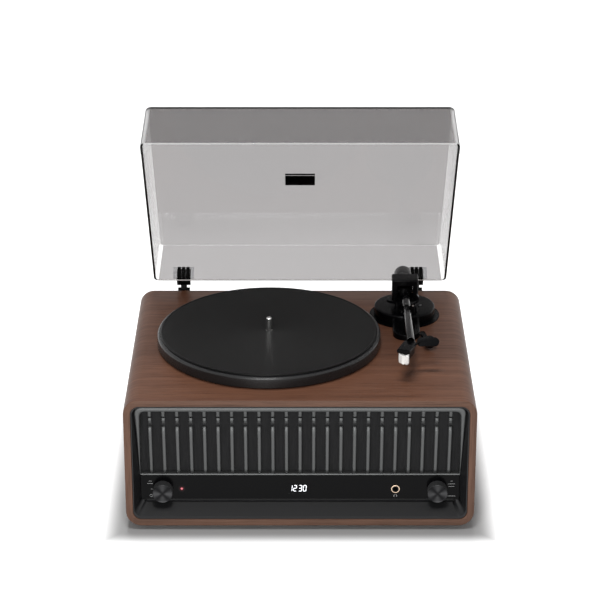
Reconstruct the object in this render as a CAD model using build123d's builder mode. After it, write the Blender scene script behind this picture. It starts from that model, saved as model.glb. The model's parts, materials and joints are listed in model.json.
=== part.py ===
from build123d import *
import os
from math import atan2, cos, degrees, hypot, radians, sin, tan

# A record player with built-in loudspeakers. Millimetres, +Z up, +Y to the back, +X to the right.
# The origin is on the spindle axis, at the top of the mat, where the record seats.

os.makedirs("parts", exist_ok=True)

# Case
case_width = 446.0
case_depth = 354.0
case_height = 178.0
board = 9.0
case_corner = 20.0
case_edge_round = 0.8
foot_height = 7.0
foot_radius = 12.0
foot_inset_x = 38.0
foot_inset_y = 36.0
back_thickness = 6.0
back_clearance = 0.3
block_width = 14.0
block_depth = 20.0
block_height = 30.0

# Where the turning parts stand, from the case's centre line and its front face
spindle_left = 41.0
spindle_distance = 180.0
pivot_right = 142.0
pivot_distance = 270.0

# Platter, mat and bearing, heights above the deck
platter_radius = 147.5
platter_gap = 1.5
platter_top = 16.0
platter_plate = 3.7
platter_edge_round = 3.0
skirt_width = 4.5
belt_ring_radius = 90.0
belt_ring_wall = 3.5
belt_ring_gap = 2.5
hub_radius = 12.0
hub_gap = 3.0
mat_radius = 143.0
mat_thickness = 2.3
mat_edge_round = 0.8
spindle_radius = 3.6
spindle_stand = 17.5
spindle_nose = 2.6
spindle_shank_radius = 4.5
spindle_collar_radius = 6.0
spindle_collar = 1.4
bush_radius = 7.0
bush_flange_radius = 10.0
bush_flange = 1.2
bush_length = 30.0
bush_floor = 5.0
running_fit = 0.05
press_fit = 0.02

# Motor, pulley and belt
pulley_distance = 112.0
pulley_bearing = 135.0
pulley_radius = 5.0
pulley_flange_radius = 6.5
pulley_flange = 0.8
pulley_hole_radius = 9.0
belt_thickness = 1.0
belt_width = 5.0
belt_height = 4.0
belt_gap = 0.3
belt_side_gap = 0.2
motor_radius = 16.0
motor_length = 24.0
motor_plate = 1.5
motor_plate_length = 52.0
motor_plate_width = 18.0
motor_screw_spacing = 42.0
motor_shaft_radius = 1.0
motor_shaft_floor = 2.0

# Tonearm
arm_base_radius = 41.0
arm_base_height = 15.0
arm_base_round = 2.5
arm_flange_radius = 47.5
arm_flange_height = 0.8
arm_cable_radius = 4.0
tongue_width = 36.0
tongue_reach = 87.0
tongue_height = 8.0
tongue_round = 1.5
column_radius = 8.0
column_height = 8.6
spigot_radius = 3.0
yoke_width = 35.5
yoke_depth = 24.0
yoke_gap = 0.4
yoke_floor = 4.0
yoke_window_width = 21.5
yoke_window_height = 19.0
yoke_cap = 8.7
yoke_round = 2.5
arm_axis_height = 35.5
arm_rise = 1.73
arm_tube_radius = 5.0
arm_tube_wall = 0.8
arm_reach = 178.0
pivot_block_width = 14.0
pivot_block_length = 12.0
pivot_block_height = 11.0
pivot_block_round = 1.0
axle_radius = 1.5
axle_length = 31.0
axle_end_gap = 0.5
tail_radius = 4.0
tail_length = 68.0
weight_radius = 12.4
weight_start = 30.0
weight_length = 34.0
weight_groove = 1.0
weight_round = 1.2
head_angle = 19.2
head_length = 32.0
head_width = 17.0
head_thickness = 5.0
head_overlap = 4.0
head_round = 1.5
cartridge_width = 14.0
cartridge_length = 23.0
cartridge_height = 9.5
cartridge_back = 5.0
cartridge_round = 1.0
stylus_width = 14.2
stylus_depth = 4.2
stylus_height = 15.0
stylus_tip = 2.0
stylus_tip_radius = 0.7
stylus_round = 0.8
lift_paddle_width = 29.0
lift_paddle_height = 12.0
lift_paddle_thickness = 2.4
lift_paddle_lean = 38.0
lift_neck = 3.0
lift_paddle_offset = 22.5
lift_paddle_back = 2.0
lift_paddle_drop = 2.0
lift_paddle_round = 0.8

# Arm rest, its clip, and the cueing lever and lift
rest_back = 62.0
rest_width = 18.0
rest_depth = 8.0
rest_post_width = 9.0
rest_floor = 2.5
rest_gap = 0.3
rest_wall = 5.0
rest_wall_gap = 0.5
rest_wall_rise = 9.5
clip_pin_radius = 1.2
clip_open = 120.0
clip_gap = 0.6
clip_thickness = 2.0
clip_width = 5.0
clip_boss_radius = 2.5
clip_boss_ease = 0.3
clip_slot_gap = 0.5
clip_hook_start = 60.0
clip_hook_sweep = 105.0
cue_back = 75.0
cue_shaft_radius = 2.0
cue_axis_height = 4.6
cue_hub_radius = 3.8
cue_hub_width = 5.0
cue_paddle_radius = 8.5
cue_paddle_right = 28.3
cue_paddle_reach = 38.0
cue_paddle_lean = 45.0
cue_paddle_thickness = 3.0
cue_arm_width = 6.0
cue_shaft_depth = 12.0
cue_shaft_end_gap = 0.5
cue_side_gap = 0.4
lift_bar_radius = 31.0
lift_bar_width = 4.0
lift_bar_thickness = 3.0
lift_bar_gap = 0.4
lift_bar_from = -82.0
lift_bar_to = -138.0
lift_pin_bearing = -112.0
lift_pin_radius = 2.5
lift_pin_depth = 12.0
lift_pin_end_gap = 1.0
lift_pin_sink = 1.0

# Fascia: a black scoop, the leaning grille and the upright control strip
bezel_setback = 1.0
bezel_depth = 30.0
bezel_clearance = 0.4
scoop_depth = 20.0
scoop_side_rim = 10.2
scoop_side_slope = 7.9
scoop_floor_rim = 12.0
scoop_floor_slope = 11.6
scoop_top_rim = 10.7
scoop_corner = 10.5
groove_depth = 4.0
panel_lift = 4.6
panel_height = 33.3
panel_end_gap = 0.5
panel_thickness = 2.5
pocket_drop = 2.0
grille_top_gap = 0.8
grille_top_back = 3.2
grille_foot_gap = 1.5
grille_foot_setback = 1.4
grille_thickness = 7.0
grille_clearance = 0.4
grille_field_inset = 1.4
grille_top_bar = 8.0
grille_foot_bar = 3.0
grille_field_corner = 6.5
rib_count = 23
rib_pitch = 17.3
rib_width = 4.1
rib_depth = 5.5
rib_setback = 0.8
cloth_thickness = 0.8
cloth_hem = 0.5
baffle_inset = 3.4
baffle_thickness = 9.0
baffle_drop = 5.4
baffle_foot_gap = 1.0
speaker_inset = 76.5
speaker_hole_radius = 34.0
speaker_flange_radius = 40.0
speaker_flange = 2.0
basket_depth = 22.0
basket_wall = 2.0
basket_foot_radius = 21.0
voice_hole_radius = 8.0
cone_thickness = 0.9
cone_edge = 3.0
cone_roll = 6.5
cone_cap_overlap = 2.0
cone_cap_rise = 4.0
magnet_radius = 22.0
magnet_length = 16.0
magnet_round = 1.5
voice_coil_gap = 1.0

# Controls on the strip, heights above the case's underside
control_lift = 14.8
knob_lift = 13.8
knob_inset = 28.2
knob_radius = 12.75
knob_length = 12.8
knob_gap = 0.4
knob_wall = 2.2
knob_hub_radius = 5.5
knob_face = 3.0
knob_edge = 0.9
encoder_size = 12.0
encoder_bush_radius = 3.5
encoder_bush_length = 4.0
encoder_shaft_radius = 3.0
shaft_board_gap = 2.0
board_back = 34.4
circuit_board = 1.6
lamp_from_knob = 24.2
lamp_radius = 1.5
lamp_stand = 0.8
window_width = 30.0
window_height = 14.0
window_left = 1.7
clock_width = 26.0
clock_height = 12.0
clock_depth = 7.0
jack_from_knob = 53.7
jack_bore_radius = 3.25
jack_bore_length = 15.0
jack_collar_radius = 4.4
jack_nut_radius = 5.6
jack_nut_length = 1.6
jack_body = 14.0
control_board_margin = 6.4
control_board_edge = 3.15

# Sockets on the back
socket_height = 45.0
line_out_inset = 96.0
line_out_spacing = 16.0
line_sleeve_radius = 4.15
line_sleeve_length = 9.0
line_neck_radius = 5.0
line_bore_radius = 1.65
line_body_height = 18.0
line_body_depth = 13.0
inlet_inset = 64.0
inlet_width = 26.0
inlet_height = 20.0
inlet_depth = 18.0
inlet_lip = 2.0
inlet_lip_thickness = 1.6
inlet_well_width = 17.0
inlet_well_height = 9.0
inlet_well_depth = 12.0
inlet_pin_radius = 1.2
inlet_pin_spacing = 8.6
vent_width = 3.0
vent_height = 26.0
vent_pitch = 8.0
vent_count = 15

# Amplifier and supply boards on the case's floor
spacer_height = 6.0
spacer_radius = 3.0
amp_length = 140.0
amp_width = 90.0
amp_side_gap = 64.0
amp_back_gap = 53.0
supply_length = 96.0
supply_width = 64.0
supply_side_gap = 26.0
supply_back_gap = 16.0
board_margin = 6.0
heat_sink_length = 60.0
heat_sink_width = 22.0
heat_sink_height = 32.0
heat_sink_fins = 7
heat_sink_base = 4.0
fin_thickness = 1.6
transformer_size = 34.0
capacitor_radius = 8.0
capacitor_height = 25.0

# Screws
screw_radius = 1.6
screw_head_radius = 3.4
screw_head_height = 2.0
screw_length = 14.0
short_screw_length = 7.0
screw_slack = 0.05
screw_end_gap = 1.0

# Dust cover and its hinges. The closed cover is drawn about the hinge axis and turned open.
lid_opening = 54.1
lid_width = 406.6
lid_length = 335.0
lid_height = 58.4
lid_wall = 3.0
lid_side_draft = 5.0
lid_front_draft = 1.4
lid_back_draft = 1.9
lid_corner = 8.0
lid_top_round = 2.5
lid_rim_gap = 2.0
lid_hinge_setback = 18.2
hinge_behind = 7.0
hinge_below_deck = 1.5
hinge_inset = 41.0
hinge_pin_radius = 1.5
hinge_knuckle_radius = 3.2
hinge_ear_width = 4.0
hinge_tongue_width = 8.4
hinge_side_gap = 0.1
hinge_plate = 3.5
hinge_plate_height = 38.0
hinge_arm_width = 19.0
hinge_arm_thickness = 3.2
hinge_arm_height = 18.5
hinge_rib = 1.5
hinge_seat_gap = 0.2
bumper_length = 15.0
bumper_from_front = 7.0
badge_width = 40.0
badge_round = 1.5
badge_height = 27.0
badge_thickness = 0.6
badge_back = 167.5

# Derived positions and sizes
case_x = spindle_left
front_y = -spindle_distance
deck_z = -(platter_top + mat_thickness)
case_bottom = deck_z - case_height
inner_width = case_width - 2 * board
inner_height = case_height - 2 * board
inner_corner = case_corner - board
arm_x = case_x + pivot_right
arm_y = front_y + pivot_distance
scoop_front_half = case_width / 2 - scoop_side_rim
scoop_back_half = scoop_front_half - scoop_side_slope
scoop_front_floor = scoop_floor_rim
scoop_back_floor = scoop_front_floor + scoop_floor_slope
scoop_top = case_height - scoop_top_rim
panel_half = scoop_back_half - panel_end_gap
panel_bottom = scoop_back_floor + panel_lift
panel_top = panel_bottom + panel_height
pocket_top = scoop_top - pocket_drop
grille_top = scoop_top - grille_top_gap
grille_foot = panel_top + grille_foot_gap
grille_foot_back = scoop_depth - grille_foot_setback
grille_field_half = scoop_back_half - grille_field_inset
cloth_half = grille_field_half + cloth_hem
baffle_half = scoop_back_half - baffle_inset
speaker_right = baffle_half - speaker_inset
control_height = panel_bottom + control_lift
knob_height = panel_bottom + knob_lift
knob_right = panel_half - knob_inset
lamp_left = knob_right - lamp_from_knob
jack_right = knob_right - jack_from_knob
control_board_length = 2 * (panel_half - control_board_margin)
control_board_height = panel_height - 2 * control_board_edge
line_out_right = inner_width / 2 - line_out_inset
inlet_left = inner_width / 2 - inlet_inset
amp_right = inner_width / 2 - amp_side_gap - amp_length / 2
amp_back = case_depth - back_thickness - amp_back_gap - amp_width / 2
supply_left = inner_width / 2 - supply_side_gap - supply_length / 2
supply_back = case_depth - back_thickness - supply_back_gap - supply_width / 2
hinge_right = lid_width / 2 - hinge_inset
grille_lean = degrees(atan2(grille_foot_back - grille_top_back, grille_top - grille_foot))
grille_length = hypot(grille_foot_back - grille_top_back, grille_top - grille_foot)
pulley_x = pulley_distance * cos(radians(pulley_bearing))
pulley_y = pulley_distance * sin(radians(pulley_bearing))
hinge_y = front_y + case_depth + hinge_behind
hinge_z = deck_z - hinge_below_deck


# Planes to draw on. Local x is measured from the case's centre line.
def front_plane(depth):
    """Faces the front, at this depth behind the front face; y is the height above the underside."""
    return Plane(origin=(case_x, front_y + depth, case_bottom), x_dir=(1, 0, 0), z_dir=(0, -1, 0))


def deck_plane(height):
    """Faces up, at this height above the deck; y is the distance behind the front face."""
    return Plane(origin=(case_x, front_y, deck_z + height), x_dir=(1, 0, 0), z_dir=(0, 0, 1))


def floor_plane(height):
    """Faces up, at this height above the case's underside; y as on the deck."""
    return Plane(origin=(case_x, front_y, case_bottom + height), x_dir=(1, 0, 0), z_dir=(0, 0, 1))


def side_plane(right):
    """Faces right; x is the distance behind the front face and y the height above the underside."""
    return Plane(origin=(case_x + right, front_y, case_bottom), x_dir=(0, 1, 0), z_dir=(1, 0, 0))


def grille_plane(out):
    """Lies in the leaning grille's face, moved out of it by this much; y runs up the lean."""
    face = Plane(
        origin=(case_x, front_y + grille_top_back, case_bottom + grille_top),
        x_dir=(1, 0, 0),
        z_dir=(0, -cos(radians(grille_lean)), -sin(radians(grille_lean))),
    )
    return face.offset(out)


def spindle_plane():
    """Upright plane through the spindle axis: x is the radius and y the height above the deck."""
    return Plane(origin=(0, 0, deck_z), x_dir=(1, 0, 0), z_dir=(0, -1, 0))


def arm_plane(height):
    """Lies along the tonearm, with x to the right and y towards its tail, from the pivot."""
    axis = Plane(
        origin=(arm_x, arm_y, deck_z + arm_axis_height),
        x_dir=(1, 0, 0),
        z_dir=(0, sin(radians(arm_rise)), cos(radians(arm_rise))),
    )
    return axis.offset(height)


def arm_section(back):
    """Cuts square across the tonearm at this distance behind the pivot, facing its tail."""
    along = arm_plane(0)
    point = along.from_local_coords(Vector(0, back, 0))
    return Plane(origin=point, x_dir=(1, 0, 0), z_dir=along.y_dir)


def head_plane(height):
    """Lies along the headshell, which turns left from the end of the tube; y runs to its back."""
    along = arm_plane(0)
    point = along.from_local_coords(Vector(0, -arm_reach, 0))
    turn = radians(head_angle)
    sideways = along.x_dir * cos(turn) - along.y_dir * sin(turn)
    return Plane(origin=point, x_dir=sideways, z_dir=along.z_dir).offset(height)


def lid_plane(height):
    """Lies along the opened cover's rim, through the hinge axis; y runs to the back when closed."""
    turn = radians(lid_opening)
    axis = Plane(origin=(case_x, hinge_y, hinge_z), x_dir=(1, 0, 0), z_dir=(0, sin(turn), cos(turn)))
    return axis.offset(height)


def lid_side(right):
    """Cuts the opened cover from back to front, facing right; x and y are the cover's y and z."""
    along = lid_plane(0)
    point = along.from_local_coords(Vector(right, 0, 0))
    return Plane(origin=point, x_dir=along.y_dir, z_dir=(1, 0, 0))


# Case: a veneered tube of board, open at the front and the back
foot_points = [
    (side * (case_width / 2 - foot_inset_x), along)
    for side in (-1, 1)
    for along in (foot_inset_y, case_depth - foot_inset_y)
]
motor_points = [
    (-spindle_left + pulley_x + side * motor_screw_spacing / 2, spindle_distance + pulley_y)
    for side in (-1, 1)
]
pulley_point = (-spindle_left + pulley_x, spindle_distance + pulley_y)
spindle_point = (-spindle_left, spindle_distance)
pivot_point = (pivot_right, pivot_distance)
pilot_radius = screw_radius + screw_slack
foot_recess = screw_head_height + screw_end_gap

with BuildPart() as cabinet_shell:
    with BuildSketch(front_plane(0)):
        with Locations((0, case_height / 2)):
            RectangleRounded(case_width, case_height, case_corner)
            RectangleRounded(inner_width, inner_height, inner_corner, mode=Mode.SUBTRACT)
    extrude(amount=-case_depth)
    fillet(cabinet_shell.faces().sort_by(Axis.Y)[0].edges(), case_edge_round)
    with BuildSketch(deck_plane(0)):
        with Locations(spindle_point):
            Circle(bush_radius + running_fit)
        with Locations(pulley_point):
            Circle(pulley_hole_radius)
        with Locations(pivot_point):
            Circle(arm_cable_radius)
    extrude(amount=-board, mode=Mode.SUBTRACT)
    with BuildSketch(deck_plane(-board)):
        with Locations(*motor_points):
            Circle(pilot_radius)
    extrude(amount=short_screw_length, mode=Mode.SUBTRACT)
    with BuildSketch(floor_plane(0)):
        with Locations(*foot_points):
            Circle(pilot_radius)
    extrude(amount=short_screw_length, mode=Mode.SUBTRACT)
cabinet_shell.part.label = "cabinet_shell"

# Back: four glued blocks take the back panel's screws
back_inside = case_depth - back_thickness
block_x = inner_width / 2 - block_width / 2
block_z = inner_height / 2 - inner_corner - block_height / 2
block_points = [(sx * block_x, case_height / 2 + sz * block_z) for sx in (-1, 1) for sz in (-1, 1)]

with BuildPart() as corner_blocks:
    with BuildSketch(front_plane(back_inside)):
        with Locations(*block_points):
            Rectangle(block_width, block_height)
    extrude(amount=block_depth)
    with BuildSketch(front_plane(back_inside)):
        with Locations(*block_points):
            Circle(pilot_radius)
    extrude(amount=screw_length, mode=Mode.SUBTRACT)
corner_blocks.part.label = "corner_blocks"

line_points = [
    (line_out_right + side * line_out_spacing / 2, socket_height) for side in (-1, 1)
]
hinge_points = [side * hinge_right for side in (-1, 1)]
hinge_axis_height = case_height - hinge_below_deck
hinge_plate_top = hinge_axis_height - hinge_knuckle_radius
hinge_screw_heights = [
    hinge_plate_top - hinge_plate_height + hinge_plate_height * share for share in (0.2, 0.55)
]
hinge_screw_points = [(x, height) for x in hinge_points for height in hinge_screw_heights]

with BuildPart() as back_panel:
    with BuildSketch(front_plane(case_depth)):
        with Locations((0, case_height / 2)):
            RectangleRounded(
                inner_width - 2 * back_clearance,
                inner_height - 2 * back_clearance,
                inner_corner - back_clearance,
            )
        with Locations(*block_points):
            Circle(pilot_radius, mode=Mode.SUBTRACT)
        with Locations(*hinge_screw_points):
            Circle(pilot_radius, mode=Mode.SUBTRACT)
        with Locations(*line_points):
            Circle(line_neck_radius + running_fit, mode=Mode.SUBTRACT)
        with Locations((-inlet_left, socket_height)):
            Rectangle(
                inlet_width + 2 * running_fit, inlet_height + 2 * running_fit, mode=Mode.SUBTRACT
            )
        with Locations((0, case_height / 2)):
            with GridLocations(vent_pitch, 0, vent_count, 1):
                SlotOverall(vent_height, vent_width, rotation=90, mode=Mode.SUBTRACT)
    extrude(amount=back_thickness)
back_panel.part.label = "back_panel"


# Screws: a pan head outside and a plain shank, drawn head down at the origin
def screw(length):
    """One pan-head screw with its head's seat at the origin and its shank up +Z."""
    with BuildPart(mode=Mode.PRIVATE) as one:
        with BuildSketch(Plane.XY):
            Circle(screw_radius)
        extrude(amount=length)
        with BuildSketch(Plane.XY):
            Circle(screw_head_radius)
        extrude(amount=-screw_head_height)
        fillet(one.faces().sort_by(Axis.Z)[0].edges(), screw_head_height * 0.6)
    return one.part


long_screw = screw(screw_length - screw_end_gap)
short_screw = screw(short_screw_length - screw_end_gap)
foot_screw = screw(foot_height - foot_recess + short_screw_length - screw_end_gap)

with BuildPart() as case_screws:
    with Locations(front_plane(case_depth)):
        with Locations(*block_points):
            add(long_screw)
    with Locations(front_plane(case_depth + hinge_plate)):
        with Locations(*hinge_screw_points):
            add(short_screw)
    with Locations(floor_plane(foot_recess - foot_height)):
        with Locations(*foot_points):
            add(foot_screw)
    with Locations(deck_plane(-board - motor_plate)):
        with Locations(*motor_points):
            add(short_screw)
case_screws.part.label = "case_screws"

# Feet, each with a recess for its screw's head
with BuildPart() as feet:
    with BuildSketch(floor_plane(-foot_height)):
        with Locations(*foot_points):
            Circle(foot_radius)
    extrude(amount=foot_height, taper=2)
    with BuildSketch(floor_plane(-foot_height)):
        with Locations(*foot_points):
            Circle(screw_head_radius + running_fit)
    extrude(amount=foot_recess, mode=Mode.SUBTRACT)
    with BuildSketch(floor_plane(-foot_height)):
        with Locations(*foot_points):
            Circle(pilot_radius)
    extrude(amount=foot_height, mode=Mode.SUBTRACT)
feet.part.label = "feet"

# Fascia. The scoop is the space in front of the grille and strip; its sides and floor slope in.
def scoop(clearance):
    """The scoop's space, taken in by a clearance on every side."""
    with BuildPart(mode=Mode.PRIVATE) as space:
        for depth, half, foot in (
            (0, scoop_front_half, scoop_front_floor),
            (scoop_depth, scoop_back_half, scoop_back_floor),
        ):
            low = foot + clearance
            high = scoop_top - clearance
            with BuildSketch(front_plane(depth)):
                with Locations((0, (low + high) / 2)):
                    RectangleRounded(2 * (half - clearance), high - low, scoop_corner - clearance)
        loft()
    return space.part


with BuildPart() as front_bezel:
    with BuildSketch(front_plane(bezel_setback)):
        with Locations((0, case_height / 2)):
            RectangleRounded(
                inner_width - 2 * bezel_clearance,
                inner_height - 2 * bezel_clearance,
                inner_corner - bezel_clearance,
            )
    extrude(amount=-bezel_depth)
    add(scoop(0), mode=Mode.SUBTRACT)
    with BuildSketch(front_plane(scoop_depth)):
        with Locations((0, (pocket_top + panel_bottom - bezel_clearance) / 2)):
            Rectangle(2 * scoop_back_half, pocket_top - panel_bottom + bezel_clearance)
    extrude(amount=-bezel_depth, mode=Mode.SUBTRACT)
    with BuildSketch(front_plane(scoop_depth)):
        with Locations((0, (scoop_back_floor + panel_bottom) / 2)):
            Rectangle(2 * scoop_back_half - scoop_corner, panel_bottom - scoop_back_floor)
    extrude(amount=-groove_depth, mode=Mode.SUBTRACT)
front_bezel.part.label = "front_bezel"

grille_field_low = -(grille_length - grille_foot_bar)
grille_field_mid = (grille_field_low - grille_top_bar) / 2
grille_field_height = -grille_top_bar - grille_field_low
rib_start = grille_plane(-rib_setback - rib_depth / 2).from_local_coords(
    Vector(0, grille_field_low - 1, 0)
)
rib_plane = Plane(origin=rib_start, x_dir=(1, 0, 0), z_dir=grille_plane(0).y_dir)
grille_space = scoop(grille_clearance)

with BuildPart() as speaker_grille:
    with BuildSketch(grille_plane(0)):
        with Locations((0, -grille_length / 2)):
            Rectangle(case_width, grille_length)
    extrude(amount=-grille_thickness)
    add(grille_space, mode=Mode.INTERSECT)
    with BuildSketch(grille_plane(0)):
        with Locations((0, grille_field_mid)):
            RectangleRounded(2 * grille_field_half, grille_field_height, grille_field_corner)
    extrude(amount=-2 * grille_thickness, mode=Mode.SUBTRACT)
    with BuildSketch(rib_plane):
        with GridLocations(rib_pitch, 0, rib_count, 1):
            RectangleRounded(rib_width, rib_depth, rib_width / 3)
    extrude(amount=grille_field_height + 2)
speaker_grille.part.label = "speaker_grille"

with BuildPart() as grille_cloth:
    with BuildSketch(grille_plane(-grille_thickness)):
        with Locations((0, grille_field_mid)):
            Rectangle(2 * cloth_half, grille_field_height + 2 * grille_foot_bar)
    extrude(amount=-cloth_thickness)
grille_cloth.part.label = "grille_cloth"

baffle_face = -grille_thickness - cloth_thickness
baffle_height = grille_length - baffle_drop - baffle_foot_gap
speaker_points = [(side * speaker_right, grille_field_mid) for side in (-1, 1)]

with BuildPart() as speaker_baffle:
    with BuildSketch(grille_plane(baffle_face)):
        with Locations((0, -baffle_drop - baffle_height / 2)):
            Rectangle(2 * baffle_half, baffle_height)
        with Locations(*speaker_points):
            Circle(speaker_hole_radius, mode=Mode.SUBTRACT)
    extrude(amount=-baffle_thickness)
speaker_baffle.part.label = "speaker_baffle"

# Loudspeakers: pressed basket, paper cone with its rubber edge, and magnet, drawn about +Z
basket_low = -speaker_flange - basket_depth

with BuildPart(mode=Mode.PRIVATE) as basket:
    with BuildSketch(Plane.XZ):
        with BuildLine():
            Polyline(
                (speaker_hole_radius, 0),
                (speaker_flange_radius, 0),
                (speaker_flange_radius, -speaker_flange),
                (speaker_hole_radius + basket_wall, -speaker_flange),
                (basket_foot_radius + basket_wall, basket_low),
                (voice_hole_radius, basket_low),
                (voice_hole_radius, basket_low + basket_wall),
                (basket_foot_radius, basket_low + basket_wall),
                (speaker_hole_radius, -speaker_flange),
                close=True,
            )
        make_face()
    revolve(axis=Axis.Z)

with BuildPart(mode=Mode.PRIVATE) as cone:
    rim = speaker_hole_radius - running_fit
    cap = voice_hole_radius + cone_cap_overlap
    low = basket_low + 3 * basket_wall
    with BuildSketch(Plane.XZ):
        with BuildLine():
            Polyline(
                (rim, -cone_thickness),
                (rim - cone_edge, 0),
                (rim - cone_roll, -cone_thickness),
                (cap, low + cone_thickness),
                (0, low + cone_cap_rise),
                (0, low + cone_cap_rise - cone_thickness),
                (cap, low),
                (rim - cone_roll, -2 * cone_thickness),
                (rim - cone_edge, -cone_thickness),
                (rim, -2 * cone_thickness),
                close=True,
            )
        make_face()
    revolve(axis=Axis.Z)

with BuildPart(mode=Mode.PRIVATE) as magnet:
    with BuildSketch(Plane.XY.offset(basket_low)):
        Circle(magnet_radius)
    extrude(amount=-magnet_length)
    with BuildSketch(Plane.XY.offset(basket_low)):
        Circle(voice_hole_radius - voice_coil_gap)
    extrude(amount=2 * basket_wall)
    fillet(magnet.faces().sort_by(Axis.Z)[0].edges(), magnet_round)

speaker_back = grille_plane(baffle_face - baffle_thickness)

with BuildPart() as speaker_baskets:
    with Locations(speaker_back):
        with Locations(*speaker_points):
            add(basket.part)
speaker_baskets.part.label = "speaker_baskets"

with BuildPart() as speaker_cones:
    with Locations(speaker_back):
        with Locations(*speaker_points):
            add(cone.part)
speaker_cones.part.label = "speaker_cones"

with BuildPart() as speaker_magnets:
    with Locations(speaker_back):
        with Locations(*speaker_points):
            add(magnet.part)
speaker_magnets.part.label = "speaker_magnets"

# Control strip
knob_points = [(side * knob_right, knob_height) for side in (-1, 1)]
panel_back = scoop_depth + panel_thickness

with BuildPart() as control_panel:
    with BuildSketch(front_plane(scoop_depth)):
        with Locations((0, (panel_bottom + panel_top) / 2)):
            Rectangle(2 * panel_half, panel_top - panel_bottom)
        with Locations(*knob_points):
            Circle(encoder_bush_radius + running_fit, mode=Mode.SUBTRACT)
        with Locations((-lamp_left, control_height)):
            Circle(lamp_radius + running_fit, mode=Mode.SUBTRACT)
        with Locations((-window_left, control_height)):
            Rectangle(
                window_width + 2 * running_fit, window_height + 2 * running_fit, mode=Mode.SUBTRACT
            )
        with Locations((jack_right, control_height)):
            Circle(jack_collar_radius + running_fit, mode=Mode.SUBTRACT)
    extrude(amount=-panel_thickness)
control_panel.part.label = "control_panel"

with BuildPart() as display_window:
    with BuildSketch(front_plane(scoop_depth)):
        with Locations((-window_left, control_height)):
            Rectangle(window_width, window_height)
    extrude(amount=-panel_thickness)
display_window.part.label = "display_window"

with BuildPart() as clock_display:
    with BuildSketch(front_plane(panel_back)):
        with Locations((-window_left, control_height)):
            Rectangle(clock_width, clock_height)
    extrude(amount=-clock_depth)
clock_display.part.label = "clock_display"

with BuildPart() as indicator_lamp:
    with BuildSketch(front_plane(scoop_depth - lamp_stand)):
        with Locations((-lamp_left, control_height)):
            Circle(lamp_radius)
    extrude(amount=-(board_back - scoop_depth + lamp_stand))
    fillet(indicator_lamp.faces().sort_by(Axis.Y)[0].edges(), lamp_stand * 0.9)
indicator_lamp.part.label = "indicator_lamp"

with BuildPart() as headphone_socket:
    with BuildSketch(front_plane(panel_back)):
        with Locations((jack_right, control_height)):
            Rectangle(jack_body, jack_body)
    extrude(amount=-(board_back - panel_back))
    with BuildSketch(front_plane(scoop_depth - jack_nut_length)):
        with Locations((jack_right, control_height)):
            Circle(jack_collar_radius)
    extrude(amount=-(panel_thickness + jack_nut_length))
    with BuildSketch(front_plane(scoop_depth - jack_nut_length)):
        with Locations((jack_right, control_height)):
            Circle(jack_bore_radius)
    extrude(amount=-jack_bore_length, mode=Mode.SUBTRACT)
headphone_socket.part.label = "headphone_socket"

with BuildPart() as headphone_nut:
    with BuildSketch(front_plane(scoop_depth)):
        with Locations((jack_right, control_height)):
            Circle(jack_nut_radius)
            Circle(jack_collar_radius + press_fit, mode=Mode.SUBTRACT)
    extrude(amount=jack_nut_length)
    outer_edge = headphone_nut.faces().sort_by(Axis.Y)[0].edges().sort_by(SortBy.RADIUS)[-1]
    fillet(outer_edge, jack_nut_length / 3)
headphone_nut.part.label = "headphone_nut"

with BuildPart() as control_board:
    with BuildSketch(front_plane(board_back)):
        with Locations((0, (panel_bottom + panel_top) / 2)):
            Rectangle(control_board_length, control_board_height)
    extrude(amount=-circuit_board)
control_board.part.label = "control_board"

# Rotary controls: a body on the board, a shaft in its bush, and a hollow turned knob
knob_back = scoop_depth - knob_gap
knob_front = knob_back - knob_length
shaft_front = knob_front + knob_face
shaft_back = board_back - shaft_board_gap

with BuildPart() as rotary_controls:
    with BuildSketch(front_plane(panel_back)):
        with Locations(*knob_points):
            Rectangle(encoder_size, encoder_size)
    extrude(amount=-(board_back - panel_back))
    with BuildSketch(front_plane(scoop_depth - encoder_bush_length)):
        with Locations(*knob_points):
            Circle(encoder_bush_radius)
    extrude(amount=-(encoder_bush_length + panel_thickness))
    with BuildSketch(front_plane(scoop_depth - encoder_bush_length)):
        with Locations(*knob_points):
            Circle(encoder_shaft_radius + running_fit)
    extrude(amount=-(shaft_back - scoop_depth + encoder_bush_length + running_fit), mode=Mode.SUBTRACT)
rotary_controls.part.label = "rotary_controls"


def control_shaft(point):
    """The steel shaft that one knob is pressed on."""
    with BuildPart(mode=Mode.PRIVATE) as shaft:
        with BuildSketch(front_plane(shaft_front)):
            with Locations(point):
                Circle(encoder_shaft_radius)
        extrude(amount=-(shaft_back - shaft_front))
    return shaft.part


def control_knob(point):
    """One spun metal knob: a cup with a hub that grips the shaft."""
    with BuildPart(mode=Mode.PRIVATE) as knob:
        with BuildSketch(front_plane(knob_front)):
            with Locations(point):
                Circle(knob_radius)
        extrude(amount=-knob_length)
        fillet(knob.faces().sort_by(Axis.Y)[0].edges(), knob_edge)
        with BuildSketch(front_plane(knob_front + knob_face)):
            with Locations(point):
                Circle(knob_radius - knob_wall)
                Circle(knob_hub_radius, mode=Mode.SUBTRACT)
        extrude(amount=-knob_length, mode=Mode.SUBTRACT)
        with BuildSketch(front_plane(scoop_depth - encoder_bush_length - knob_gap)):
            with Locations(point):
                Circle(knob_hub_radius)
        extrude(amount=-knob_length, mode=Mode.SUBTRACT)
        with BuildSketch(front_plane(shaft_front)):
            with Locations(point):
                Circle(encoder_shaft_radius + press_fit)
        extrude(amount=-knob_length, mode=Mode.SUBTRACT)
    return knob.part


with BuildPart() as volume_shaft:
    add(control_shaft(knob_points[0]))
volume_shaft.part.label = "volume_shaft"

with BuildPart() as volume_knob:
    add(control_knob(knob_points[0]))
volume_knob.part.label = "volume_knob"

with BuildPart() as source_shaft:
    add(control_shaft(knob_points[1]))
source_shaft.part.label = "source_shaft"

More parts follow.
